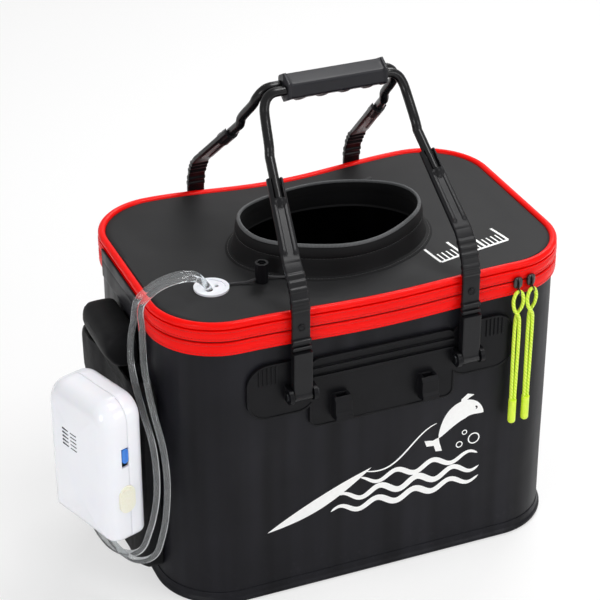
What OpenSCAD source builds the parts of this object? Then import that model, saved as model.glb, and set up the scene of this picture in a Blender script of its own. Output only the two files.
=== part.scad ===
// Aerated bait bucket: a soft foam-sheet bucket with a zipped lid, a soft hand collar,
// two folding handles that meet in one grip, and a battery air pump on its side.
// Millimetres. Origin on the ground under the middle of the bucket, +Z up, -Y is the front.

/* [Bucket] */
// Length over the coloured band
bucket_l = 400; // [350:5:480]
// Width over the coloured band
bucket_w = 256; // [230:2:300]
// Height from the ground to the top of the rim
bucket_h = 304; // [270:2:350]
// Corner radius over the coloured band
corner_r = 65; // [50:1:75]
// Thickness of the foam sheet of the walls
wall_t = 3; // [2.4:0.2:4]
// Thickness of the floor
floor_t = 5; // [4:0.5:8]
// Diameter of the rolled welt round the base
welt_d = 7; // [5:0.5:8]

/* [Band and lid] */
// Height of the whole coloured band, lid and bucket together
band_h = 32; // [28:1:38]
// Distance from the rim's top down to the zip
lid_h = 18.4; // [16:0.2:22]
// Thickness of the band
band_t = 3; // [2:0.2:4]
// Diameter of the rolled piping round the lid
piping_d = 7; // [5:0.5:8]
// Thickness of the lid sheet
lid_t = 3; // [2.4:0.2:4]
// Opening between the two halves of the band, where the zip runs
zip_gap = 1.6; // [1.2:0.1:2.2]
// Width of the hinge strip on the left end
hinge_w = 114; // [90:2:120]

/* [Collar] */
// Length of the collar at its top edge
collar_l = 176; // [150:2:190]
// Width of the collar at its top edge
collar_w = 124; // [100:2:140]
// How far the collar flares out at its foot, each side
collar_flare = 6; // [2:0.5:9]
// Height of the collar above the lid
collar_h = 26; // [18:1:34]
// Thickness of the collar cloth
collar_t = 2.4; // [1.6:0.2:3]
// Collar centre, left and right
collar_x = -3; // [-8:1:8]
// Collar centre, front and back
collar_y = -13; // [-16:1:10]

/* [Grommet and cord lock] */
// Diameter of the white hose grommet
grommet_d = 32; // [28:1:36]
// Outside diameter of the air hoses
hose_d = 6; // [5:0.5:7]
// Height of the cord lock
lock_h = 19; // [16:1:24]
// Diameter of the cord lock
lock_d = 12; // [11:0.5:14]

/* [Handles] */
// Distance between the two legs of a handle
leg_pitch = 165; // [150:1:180]
// How far the handles sit to the right of the middle
handle_x = 1; // [-4:1:4]
// How far the handle pins sit below the rim's top
pivot_drop = 82; // [70:1:100]
// Width of a handle strap
strap_w = 17; // [15:0.5:20]
// Width of a strap where the rod enters it
strap_tip_w = 15; // [14:0.5:17]
// Thickness of a handle strap
strap_t = 4; // [3:0.5:5]
// Length of a strap above its bend
strap_l = 80; // [70:1:90]
// How far below the rim's top the straps begin to bend
bend_drop = 7; // [0:1:12]
// Radius of the bend
bend_r = 60; // [45:1:70]
// Lean of the straps from upright, degrees
lean = 49; // [46:1:51]
// Diameter of the handle rods
rod_d = 9; // [7:0.5:10]
// Length of the grip
grip_l = 104; // [96:2:108]
// Height of the grip, flat to flat
grip_h = 23; // [21:0.5:26]
// Height of the grip's middle above the rim's top
grip_rise = 151; // [146:1:156]
// Diameter of the handle pins
pin_d = 5; // [4:0.5:6]

/* [Side plates] */
// Length of the moulded plate that carries a handle
plate_l = 264; // [240:2:266]
// Thickness of the plate
plate_t = 3; // [2:0.2:4]
// Distance between the two rod-rest sockets
socket_pitch = 86; // [78:1:96]
// Width of a rod-rest socket's slot
socket_slot_w = 10; // [8:0.5:11]

/* [Air pump] */
// Width of the pump case
pump_w = 80; // [70:1:86]
// Depth of the pump case
pump_t = 42; // [36:1:46]
// Height of the pump case
pump_h = 140; // [120:2:150]
// Radius of the case's rounded edges
pump_r = 12; // [9:0.5:14]
// Wall of the pump case
pump_wall = 2.4; // [2:0.2:3]
// Turn of the pump on its clip, degrees
pump_yaw = 19; // [16:1:20]
// Height of the pump above the ground
pump_z = 93; // [90:1:96]

/* [Pocket] */
// Width of the side pocket
pocket_w = 146; // [130:2:150]
// Height of the side pocket
pocket_h = 202; // [180:2:206]
// Depth of the side pocket
pocket_t = 22; // [16:1:24]
// Thickness of the pocket's cloth with its lining
pocket_wall = 2; // [1.6:0.2:3]
// Width of the padded top of the pocket
top_w = 76; // [60:2:80]
// Depth of the padded top of the pocket
top_t = 36; // [28:1:38]

/* [Zip sliders] */
// Distance of the left slider from the bucket's right end
slider_inset = 67; // [66:1:78]
// Turn of the right slider round the corner, degrees
slider_turn = 10; // [9:1:14]
// Length of a pull cord from its loop to its end
pull_l = 142; // [120:2:160]
// Diameter of the pull cord
pull_d = 3.5; // [3:0.25:4]

/* [Clearances] */
// Gap between soft pieces that lie on each other
soft_gap = 0.1; // [0.05:0.05:0.3]
// Gap between pieces that move past each other
move_gap = 0.4; // [0.3:0.1:0.8]
// Radial clearance of a pin in its moving bore
pin_gap = 0.08; // [0.04:0.01:0.1]
// Radial clearance of a piece in a fixed bore
seat_gap = 0.05; // [0.03:0.01:0.1]

/* [Hidden] */
$fn = 48;
foam = "#2b2b30";
sheet = "#3d3d3d";
moulding = "#1f1f22";
red_trim = "#ee2a1e";
grey_trim = "#8d8f92";
white_abs = "#f4f6f8";
clear_hose = "#dfe6e8";
pull_yellow = "#d8f03c";
steel = "#b9bcc0";
switch_blue = "#3f8fe8";
cream_rubber = "#efeccb";
stone_grey = "#7f8f9c";
copper = "#b5713a";
board_green = "#2d6b45";

// Levels and outlines of the bucket
wall_l = bucket_l - 2 * band_t - 2 * soft_gap;
wall_w = bucket_w - 2 * band_t - 2 * soft_gap;
wall_r = corner_r - band_t - soft_gap;
zip_z = bucket_h - lid_h;
band_z = bucket_h - band_h;
wall_top = zip_z - zip_gap / 2;
lid_low = zip_z + zip_gap / 2;
piping_z = bucket_h - piping_d / 2;
lid_top = bucket_h - 2;
tape_t = 0.6;
tape_w = 3;
hinge_t = 2;
hinge_low = 4;
fold_gap = 0.2;

// Collar and lid fittings
collar_hole_l = collar_l + 2 * collar_flare - 2 * collar_t;
collar_hole_w = collar_w + 2 * collar_flare - 2 * collar_t;
binding_d = 3.4;
grommet_x = -bucket_l / 2 + 63;
grommet_y = -60;
grommet_neck_d = 23;
grommet_flange_t = 2;
nut_t = 2.5;
hose_hole_x = -4;
hose_hole_y = 4.2;
vent_x = 5;
vent_d = 3.6;
lock_x = -91;
lock_y = -65;
lock_bore_z = 3.5;
button_d = 7;
button_h = 6;
button_sink = 1.5;
chamber_z = 6;
spring_wire = 0.8;
spring_r = 2.2;
spring_turns = 3;
spring_steps = 8;
spring_low = lid_top + soft_gap + chamber_z;
spring_high = lid_top + soft_gap + lock_h - button_sink - button_h;

// Drawcord from the collar's hem through the lock to the grommet
drawcord_d = 2;
drawcord_route = [
    [-58.4, -70.4, 303.1], [-67, -68, 303.1], [-76, -66, 303.6], [-84, -65, 305.2], [-91, -65, 305.5],
    [-98, -65, 305.2], [-105, -64, 303.6], [-112, -62, 303.1], [-120.4, -60.5, 303.1]
];

// Side plates and pins
pivot_z = bucket_h - pivot_drop;
wall_face = wall_w / 2 + soft_gap;
plate_face = wall_face + plate_t;
lobe_w = 68;
lobe_low = pivot_z - 24;
lobe_high = pivot_z + 32;
lobe_r = 20;
middle_w = 144;
middle_low = pivot_z - 44;
middle_high = pivot_z + 28;
middle_r = 9;
rail_w = 140;
rail_low_z = pivot_z + 9.5;
rail_high_z = pivot_z + 18;
rail_h = 2.2;
rail_out = 2.5;
grip_patch_x = 112;
grip_patch_z = pivot_z + 21;
rim_w = 1.8;
rim_out = 0.8;
ear_t = 4;
ear_r = 7.5;
link_w = 18;
link_r = 6;
ear_gap = link_w / 2 + 0.5;
pivot_y = bucket_w / 2 + 7.5;
socket_z = pivot_z - 34;
socket_h = 22;
socket_w = 16;
socket_out = 11;
socket_slot_t = 5.5;

// Handle straps, in the plane of a leg
bend_z = bucket_h - bend_drop;
grip_z = bucket_h + grip_rise;
strap_y = bucket_w / 2 + 3 + strap_t / 2;
splay = 6;
boss_d = rod_d + 4;
boss_l = 26;
rod_sink = 20;
kink = strap_l + 24;
grip_x = handle_x + 4;
shoulder_x = grip_l / 2 + 14;
shoulder_drop = 9;
rod_y = 6;
hex_flange_t = 3;

// Air pump
pump_back = 19.3;
pump_x = -bucket_l / 2 - pump_back - pump_t * cos(pump_yaw);
pump_y = -116;
case_split = 24;
nozzle_l = 10;
nozzle_d = 8.4;
nozzle_x = 19;
nozzle_y = [50, 30];
switch_z = 88;
switch_w = 6.5;
switch_h = 15;
switch_travel = 4;
cover_z = 42;
cover_w = 17;
cover_h = 28;
cover_t = 2;
face_x = 20;
screw_inset = 13;
board_x = pump_t - pump_wall - 5.4;

// Pocket and its loop
pocket_y = -3;
pocket_x = -wall_l / 2 - 2 * soft_gap;
pocket_z = 18;
top_h = 38;
top_y = 1;
loop_y = -53;
loop_w = 44;
loop_z = 168;
loop_h = 20;
loop_t = 1.6;
tongue_t = 2.4;
tongue_w = 26;

// Hose routes on round numbers, from the pump nozzles over the rim to the grommet
hose_left_route = [
    [-253, -64.5, 68], [-246.5, -71.5, 58.5], [-238, -81, 55], [-229, -91, 58.5], [-223, -98, 68],
    [-219, -102.5, 84], [-215, -107, 105], [-212, -110, 130], [-211, -109, 155], [-211, -101, 180],
    [-213, -86, 203], [-214, -69, 223], [-213, -54, 243], [-210, -48, 262], [-207.5, -51, 281],
    [-207, -55, 296], [-203.5, -56, 304.5], [-196, -56.5, 311.5], [-187, -56.5, 316.5], [-175, -56, 319.5],
    [-163, -56, 320],
    [-151.5, -56, 317]
];
hose_right_route = [
    [-246.5, -83, 68.5], [-239.5, -90, 60], [-230.5, -98.5, 56], [-221, -106.5, 60], [-214.5, -111.5, 69],
    [-210.5, -114, 84], [-207, -116.5, 105], [-204.5, -117, 130], [-203.5, -115, 155], [-204, -108, 180],
    [-206, -95, 204], [-207, -84, 224], [-207, -74, 244], [-206, -69, 264], [-205.5, -67, 281],
    [-206, -66.5, 296], [-203.5, -66, 304.5], [-196, -65.5, 311], [-187, -65, 316], [-175, -64.5, 319],
    [-163, -64.5, 319.5],
    [-151.5, -64, 316.5]
];
hose_tilt = 25;
inner_hose_left_route = [[-133, -54.5, 270], [-131, -52, 220], [-134, -48, 160], [-140, -46, 100]];
inner_hose_right_route = [[-133, -66, 270], [-132, -70, 220], [-132, -74, 160], [-133, -77, 110]];
hose_in = 5;
stone_d = 18;
stone_l = 32;
stone_neck = 6;

// Zip sliders and pulls
slider_x = bucket_l / 2 - slider_inset;
slider_w = 9;
slider_h = 11;
slider_t = 4;
keel_l = 2.5;
keel_t = 0.9;
eye_z = zip_z - 8.1;
eye_d = 4.6;
eye_t = 1.6;
eye_out = 5.4;
end_d = 7.6;
end_l = 26;

// A unit vector
function unit(v) = v / norm(v);

// Directions along a route, one for each of its points
function directions(p) =
    [for (i = [0:len(p) - 1]) unit(p[min(i + 1, len(p) - 1)] - p[max(i - 1, 0)])];

// Sideways directions that turn as little as they can along a route
function sideways(t, last, i = 0, done = []) =
    i == len(t) ? done
    : let (n = unit(last - (last * t[i]) * t[i])) sideways(t, n, i + 1, concat(done, [n]));

// A cord of diameter d swept along the points p as one closed skin
module cord(p, d, sides = 8) {
    t = directions(p);
    s = sideways(t, abs(t[0].z) > 0.9 ? [1, 0, 0] : [0, 0, 1]);
    rings = [for (i = [0:len(p) - 1], k = [0:sides - 1])
        p[i] + d / 2 * (cos(360 * k / sides) * s[i] + sin(360 * k / sides) * cross(t[i], s[i]))];
    last = sides * (len(p) - 1);
    sides_low = [for (i = [0:len(p) - 2], k = [0:sides - 1])
        [sides * i + k, sides * (i + 1) + k, sides * i + (k + 1) % sides]];
    sides_high = [for (i = [0:len(p) - 2], k = [0:sides - 1])
        [sides * i + (k + 1) % sides, sides * (i + 1) + k, sides * (i + 1) + (k + 1) % sides]];
    end_low = [for (k = [1:sides - 2]) [0, k, k + 1]];
    end_high = [for (k = [1:sides - 2]) [last, last + k + 1, last + k]];
    polyhedron(rings, concat(sides_low, sides_high, end_low, end_high));
}

// A closed loop of cord of diameter d round the flat route p
module ring(p, d, sides = 8) {
    n = len(p);
    rings = [for (i = [0:n - 1]) let (out = cross(unit(p[(i + 1) % n] - p[(i + n - 1) % n]), [0, 0, 1]))
        for (k = [0:sides - 1]) p[i] + d / 2 * (cos(360 * k / sides) * out + sin(360 * k / sides) * [0, 0, 1])];
    low = [for (i = [0:n - 1], k = [0:sides - 1])
        [sides * i + k, sides * i + (k + 1) % sides, sides * ((i + 1) % n) + k]];
    high = [for (i = [0:n - 1], k = [0:sides - 1])
        [sides * i + (k + 1) % sides, sides * ((i + 1) % n) + (k + 1) % sides, sides * ((i + 1) % n) + k]];
    polyhedron(rings, concat(low, high));
}

// Rectangle with round corners
module round_rect(l, w, r) {
    square([l - 2 * r, w], center = true);
    square([l, w - 2 * r], center = true);
    for (sx = [-1, 1], sy = [-1, 1])
        translate([sx * (l / 2 - r), sy * (w / 2 - r)]) circle(r);
}

// Upright block with round corners
module slab(l, w, r, low, high) {
    translate([0, 0, low]) linear_extrude(high - low) round_rect(l, w, r);
}

// Upright wall with round corners
module wall(l, w, r, t, low, high) {
    difference() {
        slab(l, w, r, low, high);
        slab(l - 2 * t, w - 2 * t, r - t, low - 1, high + 1);
    }
}

// Round bead that runs round a rectangle with round corners, its middle at height z
module bead(l, w, r, d, z) {
    translate([0, 0, z]) {
        for (sx = [-1, 1])
            translate([sx * l / 2, 0, 0]) rotate([90, 0, 0])
                cylinder(d = d, h = w - 2 * r, center = true);
        for (sy = [-1, 1])
            translate([0, sy * w / 2, 0]) rotate([0, 90, 0])
                cylinder(d = d, h = l - 2 * r, center = true);
        for (q = [0:3])
            translate([(q == 0 || q == 3 ? 1 : -1) * (l / 2 - r), (q < 2 ? 1 : -1) * (w / 2 - r), 0])
                rotate([0, 0, 90 * q]) rotate_extrude(angle = 90) translate([r, 0]) circle(d = d);
    }
}

// Upright oval wall that narrows upwards, t thick
module oval_cone(l, w, flare, t, h) {
    foot_l = l + 2 * flare;
    foot_w = w + 2 * flare;
    difference() {
        hull() {
            scale([1, foot_w / foot_l, 1]) cylinder(d = foot_l, h = 0.1, $fn = 64);
            translate([0, 0, h - 0.1]) scale([1, w / l, 1]) cylinder(d = l, h = 0.1, $fn = 64);
        }
        hull() {
            translate([0, 0, -0.1])
                scale([1, (foot_w - 2 * t) / (foot_l - 2 * t), 1])
                    cylinder(d = foot_l - 2 * t, h = 0.1, $fn = 64);
            translate([0, 0, h])
                scale([1, (w - 2 * t) / (l - 2 * t), 1]) cylinder(d = l - 2 * t, h = 0.1, $fn = 64);
        }
    }
}

// Bucket body of welded foam sheet
module bucket_shell() {
    color(foam) difference() {
        slab(wall_l, wall_w, wall_r, 0, wall_top);
        slab(wall_l - 2 * wall_t, wall_w - 2 * wall_t, wall_r - wall_t, floor_t, wall_top + 1);
    }
}

// Rolled welt where the floor meets the walls
module base_welt() {
    inset = band_t - welt_d / 2;
    color(foam) intersection() {
        difference() {
            bead(bucket_l - 2 * inset - welt_d, bucket_w - 2 * inset - welt_d,
                corner_r - inset - welt_d / 2, welt_d, welt_d / 2);
            slab(wall_l + 2 * soft_gap, wall_w + 2 * soft_gap, wall_r + soft_gap, -1, welt_d + 1);
        }
        slab(bucket_l, bucket_w, corner_r, 0, welt_d);
    }
}

// Lower half of the coloured band, on the bucket
module bucket_band() {
    color(red_trim) wall(bucket_l, bucket_w, corner_r, band_t, band_z, wall_top);
}

// Upper half of the coloured band, on the lid
module lid_band() {
    color(red_trim) wall(bucket_l, bucket_w, corner_r, band_t, lid_low, piping_z - piping_d / 2);
}

// Rolled piping round the lid
module lid_piping() {
    color(red_trim) bead(bucket_l - piping_d, bucket_w - piping_d, corner_r - piping_d / 2,
        piping_d, piping_z);
}

// Zip tape sewn to the bucket's edge
module zip_tape_bucket() {
    color(moulding) wall(wall_l, wall_w, wall_r, tape_w, wall_top, wall_top + tape_t);
}

// Zip tape sewn under the lid's edge
module zip_tape_lid() {
    color(moulding) wall(wall_l, wall_w, wall_r, tape_w, lid_low - tape_t, lid_low);
    color(moulding) wall(wall_l, wall_w, wall_r, 1, lid_low, bucket_h - piping_d - soft_gap);
}

// Flexible strip that hinges the lid on the left end, below and above its fold
module hinge_strip() {
    color(foam) translate([-bucket_l / 2 - soft_gap - hinge_t, -hinge_w / 2, band_z - hinge_low])
        cube([hinge_t, hinge_w, zip_z - fold_gap - band_z + hinge_low]);
}

module hinge_flap() {
    color(foam) translate([-bucket_l / 2 - soft_gap - hinge_t, -hinge_w / 2, zip_z + fold_gap])
        cube([hinge_t, hinge_w, piping_z - piping_d / 2 - zip_z - fold_gap]);
}

// Lid sheet with the openings for the collar and the grommet
module lid_sheet() {
    rim = 2 * piping_d + 2 * soft_gap;
    color(sheet) difference() {
        slab(bucket_l - rim, bucket_w - rim, corner_r - rim / 2, lid_top - lid_t, lid_top);
        translate([collar_x, collar_y, lid_top - lid_t - 1])
            scale([1, collar_hole_w / collar_hole_l, 1]) cylinder(d = collar_hole_l, h = lid_t + 2, $fn = 64);
        translate([grommet_x, grommet_y, lid_top - lid_t - 1])
            cylinder(d = grommet_neck_d + 2 * seat_gap, h = lid_t + 2);
    }
}

// Soft hand collar over the opening in the lid
module collar() {
    color(sheet) translate([collar_x, collar_y, lid_top])
        oval_cone(collar_l, collar_w, collar_flare, collar_t, collar_h);
}

// Binding on the collar's top edge
module collar_binding() {
    color(grey_trim) translate([collar_x, collar_y, lid_top + collar_h + binding_d / 2])
        ring([for (k = [0:47])
            [(collar_l - collar_t) / 2 * cos(7.5 * k), (collar_w - collar_t) / 2 * sin(7.5 * k), 0]], binding_d);
}

// Small pull tab sewn to the lid behind the collar
module back_tab() {
    color(moulding) translate([70, 82, lid_top]) cube([14, 5, 2.5]);
}

// Grommet that takes both hoses through the lid
module hose_grommet() {
    color(white_abs) translate([grommet_x, grommet_y, 0]) difference() {
        union() {
            translate([0, 0, lid_top]) cylinder(d = grommet_d, h = grommet_flange_t);
            translate([0, 0, lid_top - lid_t - nut_t - 2])
                cylinder(d = grommet_neck_d, h = lid_t + nut_t + 2);
        }
        for (s = [-1, 1])
            translate([hose_hole_x, s * hose_hole_y, bucket_h]) rotate([0, -hose_tilt, 0])
                cylinder(d = hose_d + 2 * pin_gap, h = 40, center = true);
        translate([vent_x, 0, lid_top - 20]) cylinder(d = vent_d, h = 40);
        translate([0, 0, lid_top + grommet_flange_t - 0.6]) cylinder(d = grommet_d - 7, h = 1);
    }
}

// Nut that holds the grommet from inside the lid
module grommet_nut() {
    color(white_abs) translate([grommet_x, grommet_y, lid_top - lid_t - nut_t]) difference() {
        cylinder(d = grommet_d, h = nut_t);
        translate([0, 0, -1]) cylinder(d = grommet_neck_d + 2 * seat_gap, h = nut_t + 2);
    }
}

// Cord from the collar's hem through the cord lock to the grommet
module drawcord() {
    color(moulding) cord(drawcord_route, drawcord_d);
}

// Barrel of the cord lock, with its cross hole for the cord
module cord_lock_barrel() {
    color(moulding) translate([lock_x, lock_y, lid_top + soft_gap]) difference() {
        cylinder(d = lock_d, h = lock_h);
        translate([0, 0, chamber_z]) cylinder(d = button_d + 2 * move_gap, h = lock_h);
        translate([0, 0, lock_bore_z - 0.1]) rotate([0, 90, 0])
            cylinder(d = drawcord_d + 2 * move_gap, h = lock_d + 2, center = true);
    }
}

// Route of the spring's wire, and the least gap between its turns
spring_rise = (spring_high - spring_low - spring_wire - 2 * soft_gap) / (spring_turns * spring_steps);
spring_route = [for (i = [0:spring_turns * spring_steps])
    [lock_x + spring_r * cos(360 * i / spring_steps), lock_y + spring_r * sin(360 * i / spring_steps),
        spring_low + soft_gap + spring_wire / 2 + spring_rise * i]];
spring_self_gap = min([for (i = [0:len(spring_route) - 1], k = [0:len(spring_route) - 1])
    if (k > i + spring_steps / 2) norm(spring_route[k] - spring_route[i]) - spring_wire]);
echo(spring_self_gap = spring_self_gap);

// Spring under the cord lock's button
module cord_lock_spring() {
    color(steel) cord(spring_route, spring_wire, sides = 6);
}

// Button of the cord lock
module cord_lock_button() {
    color(moulding) translate([lock_x, lock_y, lid_top + soft_gap + lock_h - button_sink - button_h])
        difference() {
            cylinder(d = button_d, h = button_h);
            translate([0, 0, button_h - 1.2]) cylinder(d = button_d - 2.4, h = 2);
        }
}

// Outline of a plate, two lobes and a middle, drawn in by inset
module plate_outline(inset) {
    for (s = [-1, 1])
        translate([s * (plate_l - lobe_w) / 2, (lobe_low + lobe_high) / 2])
            round_rect(lobe_w - 2 * inset, lobe_high - lobe_low - 2 * inset, lobe_r - inset);
    translate([0, (middle_low + middle_high) / 2])
        round_rect(middle_w - 2 * inset, middle_high - middle_low - 2 * inset, middle_r - inset);
}

// A moulded plate on the back wall, drawn with its face towards +Y
module plate() {
    translate([handle_x, wall_face, 0]) difference() {
        union() {
            translate([0, plate_t, 0]) rotate([90, 0, 0]) linear_extrude(plate_t) plate_outline(0);
            translate([0, plate_t + rim_out, 0]) rotate([90, 0, 0]) linear_extrude(plate_t + rim_out) difference() {
                plate_outline(0);
                plate_outline(rim_w);
            }
            for (z = [rail_low_z, rail_high_z])
                translate([-rail_w / 2, plate_t, z - rail_h / 2]) cube([rail_w, rail_out, rail_h]);
            translate([-rail_w / 4, plate_t, middle_high - 2.4]) cube([rail_w / 2, 1.2, 1.4]);
            for (s = [-1, 1], k = [-2:2])
                translate([s * grip_patch_x + 4 * k - 0.8, plate_t, grip_patch_z - 9])
                    cube([1.6, 1, 18]);
            for (s = [-1, 1], side = [-1, 1])
                translate([s * leg_pitch / 2 + side * (ear_gap + ear_t / 2), 0, pivot_z]) ear();
            for (s = [-1, 1]) translate([s * socket_pitch / 2, plate_t, socket_z]) rod_socket();
        }
        for (s = [-1, 1])
            translate([s * leg_pitch / 2, pivot_y - wall_face, pivot_z]) rotate([0, 90, 0])
                cylinder(d = pin_d + 2 * seat_gap, h = 2 * (ear_gap + ear_t) + 2, center = true);
        for (s = [-1, 1])
            translate([s * socket_pitch / 2 - socket_slot_w / 2, plate_t + 1.5, socket_z + 7])
                cube([socket_slot_w, socket_slot_t, socket_h]);
    }
}

// One ear of a clevis, its middle on the pin's axis level
module ear() {
    out = pivot_y - wall_face;
    translate([-ear_t / 2, 0, -ear_r]) cube([ear_t, out, 2 * ear_r]);
    translate([0, out, 0]) rotate([0, 90, 0]) cylinder(r = ear_r, h = ear_t, center = true);
}

// Socket for a rod rest: a sleeve with a lip at its foot
module rod_socket() {
    rotate([90, 0, 90]) translate([0, 0, -socket_w / 2]) linear_extrude(socket_w)
        polygon([[0, 0], [2, -2], [socket_out + 2, 0], [socket_out + 2, 4], [socket_out, 7],
            [socket_out, socket_h - 4], [socket_out - 3, socket_h], [0, socket_h]]);
}

// Moulded plates on the front and back walls
module front_plate() {
    color(moulding) mirror([0, 1, 0]) plate();
}

module back_plate() {
    color(moulding) plate();
}

// The two headed pins of a handle on the back wall
module pins() {
    for (s = [-1, 1])
        translate([handle_x + s * leg_pitch / 2, pivot_y, pivot_z]) rotate([0, 90, 0]) {
            cylinder(d = pin_d, h = 2 * (ear_gap + ear_t) + 1, center = true);
            for (end = [-1, 1])
                translate([0, 0, end * (ear_gap + ear_t + seat_gap + 0.75)])
                    cylinder(d = pin_d + 3, h = 1.5, center = true);
        }
}

module front_pins() {
    color(steel) mirror([0, 1, 0]) pins();
}

module back_pins() {
    color(steel) pins();
}

// Where a strap leaves its bend, in the plane of the leg
bend_end = [strap_y - bend_r + bend_r * cos(lean), bend_z + bend_r * sin(lean)];

// A point on the line of a leaning strap, side -1 left or 1 right, on the back handle
function strap_point(side, along) =
    [handle_x + side * (leg_pitch / 2 - along * sin(splay)),
        bend_end[0] - along * sin(lean) * cos(splay), bend_end[1] + along * cos(lean) * cos(splay)];

// A handle strap on the back wall: link, ridged bend and leaning part with its rod boss
module strap(side) {
    color(moulding) translate([handle_x + side * leg_pitch / 2, 0, 0]) difference() {
        union() {
            strap_foot();
            translate([-strap_w / 2, strap_y - strap_t / 2, pivot_z + 34])
                cube([strap_w, strap_t, bend_z - pivot_z - 34]);
            translate([0, strap_y - bend_r, bend_z]) rotate([90, 0, 90])
                rotate_extrude(angle = lean) translate([bend_r - strap_t / 2, -strap_w / 2])
                    square([strap_t, strap_w]);
            for (turn = [10, 16, 26, 32, 38])
                translate([0, strap_y - bend_r, bend_z]) rotate([turn, 0, 0])
                    translate([0, bend_r, 0]) ridge();
            translate([0, bend_end[0], bend_end[1]]) rotate([lean, 0, 0]) rotate([0, -side * splay, 0])
                strap_blade();
        }
        translate([0, bend_end[0], bend_end[1]]) rotate([lean, 0, 0]) rotate([0, -side * splay, 0])
            translate([0, 0, strap_l - rod_sink]) cylinder(d = rod_d + 2 * seat_gap, h = boss_l + 5);
        translate([0, pivot_y, pivot_z]) rotate([0, 90, 0])
            cylinder(d = pin_d + 2 * pin_gap, h = strap_w + 10, center = true);
    }
}

// Lower end of a strap: the link on its pin, two steps and a small boss
module strap_foot() {
    link_t = 2 * (pivot_y - strap_y + strap_t / 2);
    translate([0, pivot_y, pivot_z]) rotate([0, 90, 0]) cylinder(r = link_r, h = link_w, center = true);
    translate([-link_w / 2, strap_y - strap_t / 2, pivot_z]) cube([link_w, link_t, 44]);
    for (z = [46, 53])
        translate([-strap_w / 2 - 0.5, strap_y - strap_t / 2, pivot_z + z]) cube([strap_w + 1, 6.5, 3]);
    translate([0, strap_y + strap_t / 2, pivot_z + 68]) rotate([-90, 0, 0]) cylinder(d = 7, h = 1.2);
}

// Cross ridge that lets a strap flex
module ridge() {
    rotate([0, 90, 0]) cylinder(r = strap_t / 2 + 1.1, h = strap_w - 1, center = true);
}

// Straight leaning part of a strap, along +Z, with lengthwise ribs and the boss for the rod
module strap_blade() {
    rotate([90, 0, 0]) {
        linear_extrude(strap_t + 0.4, center = true)
            polygon([[-strap_w / 2, -3], [strap_w / 2, -3], [strap_tip_w / 2, strap_l], [-strap_tip_w / 2, strap_l]]);
        for (k = [-1, 1])
            linear_extrude(strap_t + 2, center = true)
                polygon([[5 * k - 1, 8], [5 * k + 1, 8], [4.5 * k + 1, strap_l - 18], [4.5 * k - 1, strap_l - 18]]);
    }
    translate([0, 0, strap_l - boss_l + 4]) cylinder(d = boss_d, h = boss_l - 4);
    translate([0, 0, strap_l - boss_l - 4]) cylinder(d1 = strap_t, d2 = boss_d, h = 8);
}

module front_strap_left() {
    mirror([0, 1, 0]) strap(-1);
}

module front_strap_right() {
    mirror([0, 1, 0]) strap(1);
}

module back_strap_left() {
    strap(-1);
}

module back_strap_right() {
    strap(1);
}

// Half of a rod's route on the back handle, from its boss up to the grip
function half_rod(side) = [
    strap_point(side, strap_l - rod_sink + 1),
    strap_point(side, strap_l + 2),
    strap_point(side, kink - 7),
    strap_point(side, kink) + [0, 0, 2],
    strap_point(side, kink + 4) + [0, 0, 8],
    [grip_x + side * shoulder_x, rod_y + 4, grip_z - shoulder_drop - 9],
    [grip_x + side * (shoulder_x - 1.5), rod_y + 1, grip_z - shoulder_drop],
    [grip_x + side * (shoulder_x - 5), rod_y, grip_z - 3],
    [grip_x + side * (shoulder_x - 10), rod_y, grip_z]
];

// Steel rod that joins the two straps of a handle through the grip
module rod() {
    left = half_rod(-1);
    right = half_rod(1);
    color(moulding) cord(concat(left, [for (i = [len(right) - 1:-1:0]) right[i]]), rod_d - 0.1, sides = 16);
}

module front_rod() {
    mirror([0, 1, 0]) rod();
}

module back_rod() {
    rod();
}

// Half of the six-sided grip, on the back handle's rod
module grip_half() {
    hex_d = grip_h / cos(30);
    color(moulding) translate([grip_x, 0, grip_z]) difference() {
        intersection() {
            union() {
                rotate([0, 90, 0]) cylinder(d = hex_d, h = grip_l, center = true, $fn = 6);
                for (s = [-1, 1])
                    translate([s * (grip_l - hex_flange_t) / 2, 0, 0]) rotate([0, 90, 0])
                        cylinder(d = hex_d + 2.5, h = hex_flange_t, center = true, $fn = 6);
                for (x = [-33:22:33])
                    translate([x, 0, 0.3 - hex_d / 2]) sphere(d = 5);
            }
            translate([-grip_l / 2 - 1, soft_gap, -grip_h]) cube([grip_l + 2, grip_h, 2 * grip_h]);
        }
        translate([0, rod_y, 0]) rotate([0, 90, 0]) cylinder(d = rod_d + 2 * seat_gap, h = grip_l + 2, center = true);
    }
}

module front_grip_half() {
    mirror([0, 1, 0]) grip_half();
}

module back_grip_half() {
    grip_half();
}

// Places a piece in the pump's own frame: x through its depth, y across its width
module at_pump() {
    translate([pump_x, pump_y, pump_z]) rotate([0, 0, pump_yaw]) children();
}

// A point of the pump's own frame, on the bucket
function pump_point(p) =
    [pump_x + p.x * cos(pump_yaw) - p.y * sin(pump_yaw),
        pump_y + p.x * sin(pump_yaw) + p.y * cos(pump_yaw), pump_z + p.z];

// Rounded block of the pump's case, made smaller by inset on every side
module pump_block(inset) {
    r = pump_r - inset;
    hull()
        for (x = [pump_r, pump_t - pump_r], y = [pump_r, pump_w - pump_r], z = [pump_r, pump_h - pump_r])
            translate([x, y, z]) sphere(r, $fn = 24);
}

// Part of the pump's hollow case between two depths
module pump_shell(near, far) {
    difference() {
        intersection() {
            pump_block(0);
            translate([near, -1, -1]) cube([far - near, pump_w + 2, pump_h + 2]);
        }
        pump_block(pump_wall);
    }
}

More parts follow.
